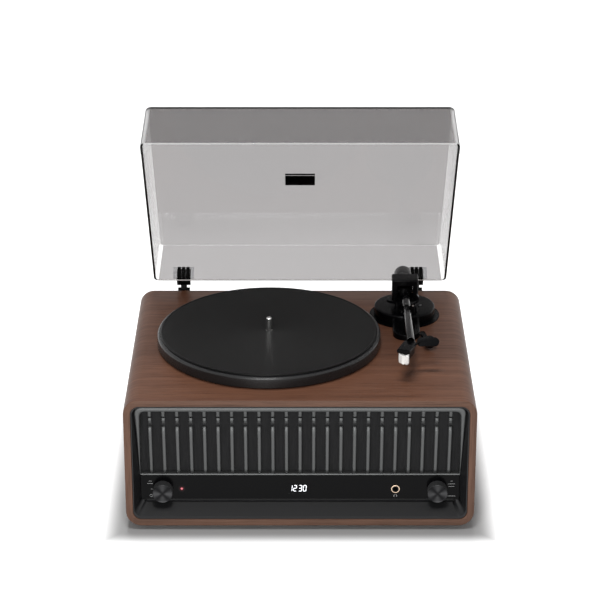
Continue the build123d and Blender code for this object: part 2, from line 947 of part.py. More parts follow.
with BuildPart() as source_knob:
    add(control_knob(knob_points[1]))
source_knob.part.label = "source_knob"

# Sockets through the back panel
with BuildPart() as line_sockets:
    with BuildSketch(front_plane(back_inside)):
        with Locations((line_out_right, socket_height)):
            Rectangle(line_out_spacing + line_body_height, line_body_height)
    extrude(amount=line_body_depth)
    with BuildSketch(front_plane(back_inside)):
        with Locations(*line_points):
            Circle(line_neck_radius)
    extrude(amount=-back_thickness)
    with BuildSketch(front_plane(case_depth)):
        with Locations(*line_points):
            Circle(line_sleeve_radius)
    extrude(amount=-line_sleeve_length)
    with BuildSketch(front_plane(case_depth + line_sleeve_length)):
        with Locations(*line_points):
            Circle(line_bore_radius)
    extrude(amount=line_sleeve_length, mode=Mode.SUBTRACT)
line_sockets.part.label = "line_sockets"

with BuildPart() as mains_inlet:
    with BuildSketch(front_plane(case_depth)):
        with Locations((-inlet_left, socket_height)):
            Rectangle(inlet_width, inlet_height)
    extrude(amount=inlet_depth)
    with BuildSketch(front_plane(case_depth)):
        with Locations((-inlet_left, socket_height)):
            Rectangle(inlet_width + 2 * inlet_lip, inlet_height + 2 * inlet_lip)
    extrude(amount=-inlet_lip_thickness)
    with BuildSketch(front_plane(case_depth + inlet_lip_thickness)):
        with Locations((-inlet_left, socket_height)):
            SlotOverall(inlet_well_width, inlet_well_height)
    extrude(amount=inlet_well_depth, mode=Mode.SUBTRACT)
    with BuildSketch(front_plane(case_depth + inlet_lip_thickness - inlet_well_depth)):
        with Locations((-inlet_left, socket_height)):
            with GridLocations(inlet_pin_spacing, 0, 2, 1):
                Circle(inlet_pin_radius)
    extrude(amount=-(inlet_well_depth - inlet_lip))
mains_inlet.part.label = "mains_inlet"


# Boards on the case's floor
def board_corners(right, back, length, width):
    """The four spacer positions of a board, from its centre and size."""
    x = length / 2 - board_margin
    y = width / 2 - board_margin
    return [(right + sx * x, back + sy * y) for sx in (-1, 1) for sy in (-1, 1)]


amp_corners = board_corners(amp_right, amp_back, amp_length, amp_width)
supply_corners = board_corners(-supply_left, supply_back, supply_length, supply_width)
board_z = board + spacer_height

with BuildPart() as board_spacers:
    with BuildSketch(floor_plane(board)):
        with Locations(*amp_corners, *supply_corners):
            Circle(spacer_radius)
    extrude(amount=spacer_height)
board_spacers.part.label = "board_spacers"

with BuildPart() as amplifier_board:
    with BuildSketch(floor_plane(board_z)):
        with Locations((amp_right, amp_back)):
            Rectangle(amp_length, amp_width)
    extrude(amount=circuit_board)
    with BuildSketch(floor_plane(board_z + circuit_board)):
        with Locations((amp_right - amp_length / 4, amp_back - amp_width / 4)):
            with GridLocations(3 * capacitor_radius, 0, 2, 1):
                Circle(capacitor_radius)
    extrude(amount=capacitor_height)
amplifier_board.part.label = "amplifier_board"

fin_pitch = (heat_sink_length - fin_thickness) / (heat_sink_fins - 1)

with BuildPart() as heat_sink:
    with Locations(floor_plane(board_z + circuit_board)):
        with Locations((amp_right + amp_length / 4, amp_back, 0)):
            Box(
                heat_sink_length,
                heat_sink_width,
                heat_sink_base,
                align=(Align.CENTER, Align.CENTER, Align.MIN),
            )
            with GridLocations(fin_pitch, 0, heat_sink_fins, 1):
                Box(
                    fin_thickness,
                    heat_sink_width,
                    heat_sink_height,
                    align=(Align.CENTER, Align.CENTER, Align.MIN),
                )
heat_sink.part.label = "heat_sink"

with BuildPart() as supply_board:
    with BuildSketch(floor_plane(board_z)):
        with Locations((-supply_left, supply_back)):
            Rectangle(supply_length, supply_width)
    extrude(amount=circuit_board)
    with BuildSketch(floor_plane(board_z + circuit_board)):
        with Locations((-supply_left, supply_back)):
            Rectangle(transformer_size, transformer_size)
        with Locations((-supply_left - transformer_size, supply_back)):
            Circle(capacitor_radius)
    extrude(amount=capacitor_height)
supply_board.part.label = "supply_board"

# Platter, turned about the spindle: hub, belt ring and skirt hang from a thin plate
plate_low = platter_top - platter_plate
ring_inner = belt_ring_radius - belt_ring_wall
skirt_inner = platter_radius - skirt_width
hub_bore = spindle_shank_radius + press_fit

with BuildPart() as platter:
    with BuildSketch(spindle_plane()):
        with BuildLine():
            Polyline(
                (hub_bore, platter_top),
                (hub_bore, hub_gap),
                (hub_radius, hub_gap),
                (hub_radius, plate_low),
                (ring_inner, plate_low),
                (ring_inner, belt_ring_gap),
                (belt_ring_radius, belt_ring_gap),
                (belt_ring_radius, plate_low),
                (skirt_inner, plate_low),
                (skirt_inner, platter_gap),
                (platter_radius, platter_gap),
                (platter_radius, platter_top - platter_edge_round),
            )
            RadiusArc(
                (platter_radius, platter_top - platter_edge_round),
                (platter_radius - platter_edge_round, platter_top),
                -platter_edge_round,
            )
            Line((platter_radius - platter_edge_round, platter_top), (hub_bore, platter_top))
        make_face()
    revolve(axis=Axis.Z)
platter.part.label = "platter"

with BuildPart() as slip_mat:
    with BuildSketch(Plane.XY.offset(-mat_thickness)):
        Circle(mat_radius)
        Circle(spindle_shank_radius + 2 * running_fit, mode=Mode.SUBTRACT)
    extrude(amount=mat_thickness)
    mat_edge = slip_mat.faces().sort_by(Axis.Z)[-1].edges().sort_by(SortBy.RADIUS)[-1]
    fillet(mat_edge, mat_edge_round)
slip_mat.part.label = "slip_mat"

spindle_bottom = -(bush_length - bush_floor)
spindle_top = platter_top + mat_thickness + spindle_stand

with BuildPart() as spindle:
    with BuildSketch(Plane.XY.offset(deck_z + spindle_bottom)):
        Circle(spindle_radius)
    extrude(amount=spindle_top - spindle_bottom)
    fillet(spindle.faces().sort_by(Axis.Z)[-1].edges(), spindle_nose)
    with BuildSketch(Plane.XY.offset(deck_z + hub_gap)):
        Circle(spindle_shank_radius)
    extrude(amount=platter_top + mat_thickness - hub_gap)
    with BuildSketch(Plane.XY.offset(deck_z + hub_gap - spindle_collar)):
        Circle(spindle_collar_radius)
    extrude(amount=spindle_collar)
spindle.part.label = "spindle"

with BuildPart() as bearing_bush:
    with BuildSketch(Plane.XY.offset(deck_z - bush_length)):
        Circle(bush_radius)
    extrude(amount=bush_length)
    with BuildSketch(Plane.XY.offset(deck_z)):
        Circle(bush_flange_radius)
    extrude(amount=bush_flange)
    with BuildSketch(Plane.XY.offset(deck_z - bush_length + bush_floor)):
        Circle(spindle_radius + running_fit)
    extrude(amount=bush_length + bush_flange, mode=Mode.SUBTRACT)
bearing_bush.part.label = "bearing_bush"

# Motor under the deck, with its pulley beside the platter's belt ring
groove_low = belt_height - belt_side_gap
groove_high = belt_height + belt_width + belt_side_gap
motor_top = -board
shaft_low = motor_top - motor_plate - motor_length + motor_shaft_floor

with BuildPart() as motor:
    with BuildSketch(deck_plane(motor_top)):
        with Locations(pulley_point):
            SlotOverall(motor_plate_length, motor_plate_width)
        with Locations(*motor_points):
            Circle(pilot_radius, mode=Mode.SUBTRACT)
    extrude(amount=-motor_plate)
    with BuildSketch(deck_plane(motor_top - motor_plate)):
        with Locations(pulley_point):
            Circle(motor_radius)
    extrude(amount=-motor_length)
    with BuildSketch(deck_plane(motor_top)):
        with Locations(pulley_point):
            Circle(motor_shaft_radius + running_fit)
    extrude(amount=shaft_low - motor_top - running_fit, mode=Mode.SUBTRACT)
motor.part.label = "motor"

with BuildPart() as motor_shaft:
    with BuildSketch(deck_plane(shaft_low)):
        with Locations(pulley_point):
            Circle(motor_shaft_radius)
    extrude(amount=groove_high + pulley_flange - shaft_low)
motor_shaft.part.label = "motor_shaft"

with BuildPart() as motor_pulley:
    with BuildSketch(deck_plane(groove_low - pulley_flange)):
        with Locations(pulley_point):
            Circle(pulley_flange_radius)
    extrude(amount=groove_high - groove_low + 2 * pulley_flange)
    with BuildSketch(deck_plane(groove_low)):
        with Locations(pulley_point):
            Circle(pulley_flange_radius + 1)
            Circle(pulley_radius, mode=Mode.SUBTRACT)
    extrude(amount=groove_high - groove_low, mode=Mode.SUBTRACT)
    with BuildSketch(deck_plane(groove_low - pulley_flange)):
        with Locations(pulley_point):
            Circle(motor_shaft_radius + press_fit)
    extrude(amount=groove_high - groove_low + 2 * pulley_flange, mode=Mode.SUBTRACT)
motor_pulley.part.label = "motor_pulley"


def belt_outline(grow):
    """The belt's path round the ring and the pulley, moved out by this much."""
    with BuildSketch(Plane.XY, mode=Mode.PRIVATE) as outline:
        with BuildLine(mode=Mode.PRIVATE) as circles:
            CenterArc((0, 0), belt_ring_radius + grow, 0, 360)
            with Locations((pulley_x, pulley_y)):
                CenterArc((0, 0), pulley_radius + grow, 0, 360)
        make_hull(circles.edges())
    return outline.sketch


with BuildPart() as drive_belt:
    with BuildSketch(Plane.XY.offset(deck_z + belt_height)):
        add(belt_outline(belt_gap + belt_thickness))
        add(belt_outline(belt_gap), mode=Mode.SUBTRACT)
    extrude(amount=belt_width)
drive_belt.part.label = "drive_belt"

# Tonearm base: a round foot with a tongue forward under the tube
lift_point = (
    pivot_right + lift_bar_radius * cos(radians(lift_pin_bearing)),
    pivot_distance + lift_bar_radius * sin(radians(lift_pin_bearing)),
)
tongue_straight = tongue_reach - tongue_width / 2

with BuildPart() as tonearm_base:
    with BuildSketch(deck_plane(0)):
        with Locations((pivot_right, pivot_distance - tongue_straight / 2)):
            Rectangle(tongue_width, tongue_straight)
        with Locations((pivot_right, pivot_distance - tongue_straight)):
            Circle(tongue_width / 2)
    extrude(amount=tongue_height)
    fillet(tonearm_base.faces().sort_by(Axis.Z)[-1].edges(), tongue_round)
    with BuildSketch(deck_plane(0)):
        with Locations(pivot_point):
            Circle(arm_base_radius)
    extrude(amount=arm_base_height)
    fillet(tonearm_base.faces().sort_by(Axis.Z)[-1].edges(), arm_base_round)
    with BuildSketch(deck_plane(0)):
        with Locations(pivot_point):
            Circle(arm_flange_radius)
    extrude(amount=arm_flange_height)
    with BuildSketch(deck_plane(0)):
        with Locations(pivot_point):
            Circle(arm_cable_radius)
    extrude(amount=arm_base_height, mode=Mode.SUBTRACT)
    with BuildSketch(deck_plane(arm_base_height)):
        with Locations(lift_point):
            Circle(lift_pin_radius + running_fit)
    extrude(amount=-(lift_pin_depth + lift_pin_end_gap), mode=Mode.SUBTRACT)
    with BuildSketch(side_plane(pivot_right + tongue_width / 2)):
        with Locations((pivot_distance - cue_back, case_height + cue_axis_height)):
            Circle(cue_shaft_radius + running_fit)
    extrude(amount=-(cue_shaft_depth + cue_shaft_end_gap), mode=Mode.SUBTRACT)
tonearm_base.part.label = "tonearm_base"

with BuildPart() as arm_column:
    with BuildSketch(deck_plane(arm_base_height)):
        with Locations(pivot_point):
            Circle(column_radius)
    extrude(amount=column_height)
    with BuildSketch(deck_plane(arm_base_height + column_height)):
        with Locations(pivot_point):
            Circle(spigot_radius)
    extrude(amount=yoke_gap + yoke_floor - running_fit)
arm_column.part.label = "arm_column"

# Yoke: turns on the column and carries the arm's cross axle in its cheeks
yoke_low = arm_base_height + column_height + yoke_gap
yoke_height = yoke_floor + yoke_window_height + yoke_cap

with BuildPart() as arm_yoke:
    with BuildSketch(deck_plane(yoke_low)):
        with Locations(pivot_point):
            RectangleRounded(yoke_width, yoke_depth, yoke_round)
    extrude(amount=yoke_height)
    fillet(arm_yoke.faces().sort_by(Axis.Z)[-1].edges(), yoke_round * 0.8)
    with BuildSketch(front_plane(pivot_distance - yoke_depth)):
        with Locations((pivot_right, case_height + yoke_low + yoke_floor + yoke_window_height / 2)):
            Rectangle(yoke_window_width, yoke_window_height)
    extrude(amount=-2 * yoke_depth, mode=Mode.SUBTRACT)
    with BuildSketch(deck_plane(yoke_low)):
        with Locations(pivot_point):
            Circle(spigot_radius + running_fit)
    extrude(amount=yoke_floor, mode=Mode.SUBTRACT)
    with BuildSketch(side_plane(pivot_right)):
        with Locations((pivot_distance, case_height + arm_axis_height)):
            Circle(axle_radius + running_fit)
    extrude(amount=axle_length / 2 + axle_end_gap, both=True, mode=Mode.SUBTRACT)
arm_yoke.part.label = "arm_yoke"

with BuildPart() as arm_axle:
    with BuildSketch(side_plane(pivot_right)):
        with Locations((pivot_distance, case_height + arm_axis_height)):
            Circle(axle_radius)
    extrude(amount=axle_length / 2, both=True)
arm_axle.part.label = "arm_axle"

with BuildPart() as pivot_block:
    with BuildSketch(arm_section(-pivot_block_length / 2)):
        RectangleRounded(pivot_block_width, pivot_block_height, pivot_block_round)
    extrude(amount=pivot_block_length)
    with BuildSketch(arm_section(0)):
        Circle(tail_radius)
    extrude(amount=tail_length)
    with BuildSketch(side_plane(pivot_right)):
        with Locations((pivot_distance, case_height + arm_axis_height)):
            Circle(axle_radius + press_fit)
    extrude(amount=pivot_block_width, both=True, mode=Mode.SUBTRACT)
pivot_block.part.label = "pivot_block"

with BuildPart() as arm_tube:
    with BuildSketch(arm_section(-arm_reach)):
        Circle(arm_tube_radius)
        Circle(arm_tube_radius - arm_tube_wall, mode=Mode.SUBTRACT)
    extrude(amount=arm_reach - pivot_block_length / 2)
arm_tube.part.label = "arm_tube"

with BuildPart() as counterweight:
    with BuildSketch(arm_section(weight_start)):
        Circle(weight_radius)
        Circle(tail_radius + running_fit, mode=Mode.SUBTRACT)
    extrude(amount=weight_length)
    outer_edges = counterweight.edges().filter_by(GeomType.CIRCLE).filter_by(
        lambda edge: abs(edge.radius - weight_radius) < 0.01
    )
    fillet(outer_edges, weight_round)
    with BuildSketch(arm_section(weight_start + weight_length / 3)):
        Circle(weight_radius + 1)
        Circle(weight_radius - weight_groove, mode=Mode.SUBTRACT)
    extrude(amount=2 * weight_groove, mode=Mode.SUBTRACT)
counterweight.part.label = "counterweight"

# Headshell, finger lift, cartridge and stylus, turned left at the end of the tube
head_top = 0.0
head_low = -head_thickness
head_front = -head_length

with BuildPart() as headshell:
    with BuildSketch(head_plane(head_low)):
        with BuildLine():
            Polyline(
                (-head_width / 2, head_front),
                (head_width / 2, head_front),
                (head_width / 2, -head_overlap),
                (arm_tube_radius, head_overlap),
                (-arm_tube_radius, head_overlap),
                (-head_width / 2, -head_overlap),
                close=True,
            )
        make_face()
    extrude(amount=head_thickness - head_top)
    fillet(headshell.faces().sort_by(Axis.Z)[-1].edges(), head_round)
    with BuildSketch(arm_section(-arm_reach)):
        Circle(arm_tube_radius + press_fit)
    extrude(amount=3 * head_overlap, mode=Mode.SUBTRACT)
headshell.part.label = "headshell"

paddle_lean = radians(lift_paddle_lean)
paddle_centre = arm_plane(0).from_local_coords(
    Vector(lift_paddle_offset, lift_paddle_back - arm_reach, -lift_paddle_drop)
)
paddle_plane = Plane(
    origin=paddle_centre, x_dir=(1, 0, 0), z_dir=(0, -cos(paddle_lean), sin(paddle_lean))
)
neck_start = head_plane(0).from_local_coords(
    Vector((head_width - lift_neck) / 2, -2 * head_overlap, -head_thickness / 2)
)
neck_end = paddle_plane.from_local_coords(
    Vector(lift_neck - lift_paddle_width / 2, 0, -lift_paddle_thickness / 2)
)
neck_run = neck_end - neck_start

with BuildPart() as finger_lift:
    with BuildSketch(paddle_plane):
        SlotOverall(lift_paddle_width, lift_paddle_height)
    extrude(amount=-lift_paddle_thickness)
    paddle_front = finger_lift.faces().sort_by(Axis(paddle_plane.origin, paddle_plane.z_dir))[-1]
    fillet(paddle_front.edges(), lift_paddle_round)
    with BuildSketch(Plane(origin=neck_start, z_dir=neck_run)):
        Circle(lift_neck / 2)
    extrude(amount=neck_run.length)
    add(headshell.part, mode=Mode.SUBTRACT)
finger_lift.part.label = "finger_lift"

with BuildPart() as cartridge:
    with BuildSketch(head_plane(head_low)):
        with Locations((0, -cartridge_back - cartridge_length / 2)):
            Rectangle(cartridge_width, cartridge_length)
    extrude(amount=-cartridge_height)
    fillet(cartridge.faces().sort_by(Axis.Z)[0].edges(), cartridge_round)
cartridge.part.label = "cartridge"

stylus_y = -cartridge_back - cartridge_length - stylus_depth / 2
stylus_z = head_low - stylus_height

with BuildPart() as stylus:
    with BuildSketch(head_plane(head_low)):
        with Locations((0, stylus_y)):
            RectangleRounded(stylus_width, stylus_depth, stylus_round)
    extrude(amount=-stylus_height)
    with BuildSketch(head_plane(stylus_z)):
        with Locations((0, stylus_y)):
            Circle(stylus_tip_radius)
    extrude(amount=-stylus_tip, taper=12)
stylus.part.label = "stylus"

# Arm rest on the tongue: a saddle with a wall on its right and a hook that closes over the tube
tube_rest_height = arm_axis_height + rest_back * tan(radians(arm_rise)) - arm_tube_radius
saddle_top = tube_rest_height - rest_gap
wall_x = arm_tube_radius + rest_wall_gap
clip_x = wall_x + rest_wall / 2
clip_z = saddle_top + rest_wall_rise
rest_point = (pivot_right, pivot_distance - rest_back)


def rest_plane(depth):
    """Faces the front at this depth in the rest, with its origin under the tube at deck level."""
    return Plane(
        origin=(arm_x, arm_y - rest_back - rest_depth / 2 + depth, deck_z),
        x_dir=(1, 0, 0),
        z_dir=(0, -1, 0),
    )


with BuildPart() as arm_rest:
    with BuildSketch(rest_plane(0)):
        with Locations((0, (tongue_height + saddle_top) / 2)):
            Rectangle(rest_post_width, saddle_top - tongue_height)
        with Locations((wall_x + rest_wall - rest_width / 2, saddle_top - rest_floor / 2)):
            Rectangle(rest_width, rest_floor)
        with Locations((clip_x, (saddle_top + clip_z) / 2)):
            Rectangle(rest_wall, clip_z - saddle_top)
        with Locations((clip_x, clip_z)):
            Circle(clip_boss_radius)
            Circle(clip_pin_radius + running_fit, mode=Mode.SUBTRACT)
    extrude(amount=-rest_depth)
    with BuildSketch(rest_plane((rest_depth - clip_width) / 2 - running_fit)):
        with Locations((clip_x, clip_z)):
            Circle(clip_boss_radius + clip_slot_gap)
    extrude(amount=-(clip_width + 2 * running_fit), mode=Mode.SUBTRACT)
arm_rest.part.label = "arm_rest"

hook_radius = arm_tube_radius + clip_gap
tube_height = tube_rest_height + arm_tube_radius


def clip_plane():
    """Faces the front at the clip's front, through its pin, turned open by clip_open."""
    turn = radians(clip_open)
    return Plane(
        origin=(arm_x + clip_x, arm_y - rest_back - clip_width / 2, deck_z + clip_z),
        x_dir=(cos(turn), 0, -sin(turn)),
        z_dir=(0, -1, 0),
    )


hook_centre = Vector(-clip_x, tube_height - clip_z)
hook_middle = hook_radius + clip_thickness / 2
hook_root = hook_centre + Vector(hook_middle, 0).rotate(Axis.Z, clip_hook_start)

with BuildPart() as arm_clip:
    with BuildSketch(clip_plane()):
        Circle(clip_boss_radius - clip_boss_ease)
        SlotCenterPoint(hook_root / 2, hook_root, clip_thickness)
        with BuildLine():
            arc = CenterArc(hook_centre, hook_middle, clip_hook_start, clip_hook_sweep)
            offset(arc, amount=clip_thickness / 2, side=Side.BOTH)
        make_face()
        with Locations((0, 0)):
            Circle(clip_pin_radius + running_fit, mode=Mode.SUBTRACT)
    extrude(amount=-clip_width)
arm_clip.part.label = "arm_clip"

with BuildPart() as clip_pin:
    with BuildSketch(rest_plane(0)):
        with Locations((clip_x, clip_z)):
            Circle(clip_pin_radius)
    extrude(amount=-rest_depth)
clip_pin.part.label = "clip_pin"

# Cueing lever on the tongue's right side, and the lift bar that it raises under the tube
cue_x = tongue_width / 2 + cue_side_gap
cue_hub = pivot_distance - cue_back
cue_end = cue_hub - cue_paddle_reach
cue_end_x = pivot_right + cue_paddle_right
cue_lean = radians(cue_paddle_lean)
cue_foot = cue_end - cue_paddle_radius * sin(cue_lean)
cue_paddle_height = cue_axis_height + cue_paddle_radius * cos(cue_lean)
cue_paddle_plane = Plane(
    origin=(case_x + cue_end_x, front_y + cue_end, deck_z + cue_paddle_height),
    x_dir=(1, 0, 0),
    z_dir=(0, -cos(cue_lean), sin(cue_lean)),
)

with BuildPart() as cue_lever:
    with BuildSketch(side_plane(pivot_right + tongue_width / 2 - cue_shaft_depth)):
        with Locations((pivot_distance - cue_back, case_height + cue_axis_height)):
            Circle(cue_shaft_radius)
    extrude(amount=cue_shaft_depth + cue_side_gap + cue_hub_width)
    with BuildSketch(side_plane(pivot_right + cue_x)):
        with Locations((pivot_distance - cue_back, case_height + cue_axis_height)):
            Circle(cue_hub_radius)
    extrude(amount=cue_hub_width)
    with BuildSketch(deck_plane(cue_axis_height)):
        with BuildLine():
            Polyline(
                (pivot_right + cue_x, cue_hub),
                (pivot_right + cue_x + cue_arm_width, cue_hub),
                (cue_end_x + cue_arm_width / 2, cue_foot),
                (cue_end_x - cue_arm_width / 2, cue_foot),
                close=True,
            )
        make_face()
    extrude(amount=cue_paddle_thickness)
    with BuildSketch(cue_paddle_plane):
        Circle(cue_paddle_radius)
    extrude(amount=-cue_paddle_thickness)
cue_lever.part.label = "cue_lever"

tube_over_bar = arm_axis_height + lift_bar_radius * tan(radians(arm_rise)) - arm_tube_radius
bar_top = tube_over_bar - lift_bar_gap

with BuildPart() as cue_lift:
    with BuildSketch(deck_plane(bar_top - lift_bar_thickness)):
        with BuildLine():
            bar = CenterArc(pivot_point, lift_bar_radius, lift_bar_from, lift_bar_to - lift_bar_from)
            offset(bar, amount=lift_bar_width / 2, side=Side.BOTH)
        make_face()
    extrude(amount=lift_bar_thickness)
    with BuildSketch(deck_plane(arm_base_height - lift_pin_depth)):
        with Locations(lift_point):
            Circle(lift_pin_radius)
    extrude(amount=bar_top - lift_pin_sink - arm_base_height + lift_pin_depth)
cue_lift.part.label = "cue_lift"

# Hinges: a clevis on the case's back edge, a pin, and an arm on the cover's back wall
ear_outer = hinge_tongue_width / 2 + hinge_side_gap + hinge_ear_width
pin_back = case_depth + hinge_behind

with BuildPart() as hinge_bases:
    for x in hinge_points:
        with BuildSketch(side_plane(x)):
            with Locations((case_depth + hinge_plate / 2, hinge_plate_top - hinge_plate_height / 2)):
                Rectangle(hinge_plate, hinge_plate_height)
            with BuildLine() as ear:
                CenterArc((pin_back, hinge_axis_height), hinge_knuckle_radius, 0, 360)
                Line((case_depth, hinge_plate_top), (case_depth, hinge_plate_top - hinge_plate * 2))
            make_hull(ear.edges())
        extrude(amount=ear_outer, both=True)
        with BuildSketch(side_plane(x)):
            with Locations((pin_back, hinge_axis_height - hinge_knuckle_radius)):
                Rectangle(2 * (hinge_behind - hinge_plate), 5 * hinge_knuckle_radius)
            with Locations((case_depth, hinge_axis_height)):
                Rectangle(4 * hinge_plate, 2 * hinge_knuckle_radius)
        extrude(amount=hinge_tongue_width / 2 + hinge_side_gap, both=True, mode=Mode.SUBTRACT)
        with BuildSketch(side_plane(x)):
            with Locations((pin_back, hinge_axis_height)):
                Circle(hinge_pin_radius + press_fit)
        extrude(amount=2 * ear_outer, both=True, mode=Mode.SUBTRACT)
    with BuildSketch(front_plane(case_depth)):
        with Locations(*hinge_screw_points):
            Circle(pilot_radius)
    extrude(amount=-hinge_plate, mode=Mode.SUBTRACT)
hinge_bases.part.label = "hinge_bases"

with BuildPart() as hinge_pins:
    for x in hinge_points:
        with BuildSketch(side_plane(x)):
            with Locations((pin_back, hinge_axis_height)):
                Circle(hinge_pin_radius)
        extrude(amount=ear_outer, both=True)
hinge_pins.part.label = "hinge_pins"

rim_z = lid_rim_gap + hinge_below_deck
rim_back = -lid_hinge_setback
leg_front = rim_back + hinge_seat_gap
leg_back = leg_front + hinge_arm_thickness
shelf_top = rim_z + hinge_arm_thickness
shelf_back = -2 * hinge_knuckle_radius

with BuildPart() as hinge_arms:
    for x in hinge_points:
        with BuildSketch(lid_side(x)):
            with BuildLine():
                Polyline(
                    (leg_front, rim_z),
                    (shelf_back, rim_z),
                    (shelf_back, shelf_top),
                    (leg_back, shelf_top),
                    (leg_back, rim_z + hinge_arm_height),
                    (leg_front, rim_z + hinge_arm_height),
                    close=True,
                )
            make_face()
        extrude(amount=hinge_arm_width / 2, both=True)
        with BuildSketch(lid_side(x)):
            with BuildLine() as tongue:
                CenterArc((0, 0), hinge_knuckle_radius, 0, 360)
                Line((shelf_back - 1, rim_z), (shelf_back - 1, shelf_top))
            make_hull(tongue.edges())
        extrude(amount=hinge_tongue_width / 2, both=True)
        with BuildSketch(lid_side(x)):
            Circle(hinge_pin_radius + running_fit)
        extrude(amount=hinge_arm_width, both=True, mode=Mode.SUBTRACT)
        for shift, width in ((-0.4, 0.16), (0, 0.4), (0.4, 0.16)):
            rib_x = x + shift * hinge_arm_width
            with BuildSketch(lid_side(rib_x)):
                with Locations((leg_back + hinge_rib / 2, (shelf_top + rim_z + hinge_arm_height) / 2)):
                    Rectangle(hinge_rib, hinge_arm_height - hinge_arm_thickness)
            extrude(amount=width * hinge_arm_width / 2, both=True)
hinge_arms.part.label = "hinge_arms"


# Dust cover: a moulded tray whose walls lean in a little towards its top panel
def cover_block(inset, top):
    """The tray's outside, taken in by an inset, from its rim to this height above the rim."""
    with BuildPart(mode=Mode.PRIVATE) as block:
        for height in (0, top):
            lean = height / lid_height
            width = lid_width - 2 * lean * lid_side_draft - 2 * inset
            length = lid_length - lean * (lid_front_draft + lid_back_draft) - 2 * inset
            middle = rim_back - lid_length / 2 + lean * (lid_front_draft - lid_back_draft) / 2
            with BuildSketch(lid_plane(rim_z + height)):
                with Locations((0, middle)):
                    RectangleRounded(width, length, lid_corner - inset)
        loft()
    return block.part


with BuildPart() as dust_cover:
    add(cover_block(0, lid_height))
    top_face = dust_cover.faces().sort_by(Axis((0, 0, 0), lid_plane(0).z_dir))[-1]
    fillet(top_face.edges(), lid_top_round)
    add(cover_block(lid_wall, lid_height - lid_wall), mode=Mode.SUBTRACT)
dust_cover.part.label = "dust_cover"

bumper_y = rim_back - lid_length + bumper_from_front + bumper_length / 2

with BuildPart() as lid_bumpers:
    with BuildSketch(lid_plane(rim_z - lid_rim_gap)):
        with Locations(*[(side * (lid_width - lid_wall) / 2, bumper_y) for side in (-1, 1)]):
            Rectangle(lid_wall, bumper_length)
    extrude(amount=lid_rim_gap)
lid_bumpers.part.label = "lid_bumpers"

with BuildPart() as lid_badge:
    with BuildSketch(lid_plane(rim_z + lid_height)):
        with Locations((0, rim_back - badge_back)):
            RectangleRounded(badge_width, badge_height, badge_round)
    extrude(amount=badge_thickness)
lid_badge.part.label = "lid_badge"

pieces = [
    cabinet_shell, corner_blocks, back_panel, case_screws, feet,
    front_bezel, speaker_grille, grille_cloth, speaker_baffle,
    speaker_baskets, speaker_cones, speaker_magnets,
    control_panel, display_window, clock_display, indicator_lamp,
    headphone_socket, headphone_nut, control_board, rotary_controls,
    volume_shaft, volume_knob, source_shaft, source_knob,
    line_sockets, mains_inlet,
    board_spacers, amplifier_board, heat_sink, supply_board,
    platter, slip_mat, spindle, bearing_bush,
    motor, motor_shaft, motor_pulley, drive_belt,
    tonearm_base, arm_column, arm_yoke, arm_axle, pivot_block, arm_tube, counterweight,
    headshell, finger_lift, cartridge, stylus,
    arm_rest, arm_clip, clip_pin, cue_lever, cue_lift,
]
lid_pieces = [hinge_bases, hinge_pins, hinge_arms, dust_cover, lid_bumpers, lid_badge]

for piece in pieces + lid_pieces:
    export_step(piece.part, f"parts/{piece.part.label}.step")
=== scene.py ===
# %% [markdown]
# A record player with its own loudspeakers, dressed in Blender cell by cell.
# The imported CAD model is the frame: it holds every piece at its true place and says what moves.
# Each step below looks at one real piece or finish, and gives it a better surface than the CAD has.

# %% Load the frame
import json
from math import atan2, cos, degrees, hypot, pi, radians, sin

import bmesh
import bpy
import numpy as np
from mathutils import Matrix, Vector


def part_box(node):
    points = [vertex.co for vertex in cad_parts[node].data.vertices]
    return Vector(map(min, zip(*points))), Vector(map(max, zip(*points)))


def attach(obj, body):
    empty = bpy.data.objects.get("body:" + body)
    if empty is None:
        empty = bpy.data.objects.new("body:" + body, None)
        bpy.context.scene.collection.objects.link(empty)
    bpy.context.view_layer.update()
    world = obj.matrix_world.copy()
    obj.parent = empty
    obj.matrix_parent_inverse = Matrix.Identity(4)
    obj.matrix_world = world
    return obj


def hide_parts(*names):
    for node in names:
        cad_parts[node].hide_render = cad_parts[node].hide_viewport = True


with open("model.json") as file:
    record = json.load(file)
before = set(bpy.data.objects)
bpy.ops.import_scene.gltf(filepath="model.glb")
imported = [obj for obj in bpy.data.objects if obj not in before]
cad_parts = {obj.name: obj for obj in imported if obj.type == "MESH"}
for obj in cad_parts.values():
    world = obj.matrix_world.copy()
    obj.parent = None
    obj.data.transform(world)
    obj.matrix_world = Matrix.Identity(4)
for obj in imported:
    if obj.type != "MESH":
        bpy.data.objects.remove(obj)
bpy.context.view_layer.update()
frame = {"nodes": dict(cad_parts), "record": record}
NODES = frame["nodes"]
BODY_OF = {node: body for body, nodes in frame["record"]["behaviour"]["bodies"].items() for node in nodes}
SLOT_OF = {part["node"]: part["material_slot"] for part in frame["record"]["subparts"]}

# %% [markdown]
# Sizes are easier to read in millimetres, and Blender works in metres.
# The case's own landmarks are named once: every later piece is placed from them or from a node's box.

# %% Landmarks of the case, in millimetres
MM = 0.001
CASE_X = 41.0
FRONT_Y = -180.0
DECK_Z = -18.3
CASE_WIDTH = 446.0
CASE_HEIGHT = 178.0
CASE_BOTTOM = DECK_Z - CASE_HEIGHT
FLOOR_Z = CASE_BOTTOM - 7.0


def at(right, behind, above):
    """A point from the case's centre line, its front face and its underside, as an array in metres."""
    right, behind, above = np.broadcast_arrays(right, behind, above)
    return np.stack([CASE_X + right, FRONT_Y + behind, CASE_BOTTOM + above], axis=-1) * MM


def box_mm(node):
    """The low and the high corner of a CAD node's box, in millimetres."""
    return np.array([list(corner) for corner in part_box(node)]) / MM


def put_in_scene(name, data):
    """A new object that holds the data, linked to the scene."""
    thing = bpy.data.objects.new(name, data)
    bpy.context.scene.collection.objects.link(thing)
    return thing


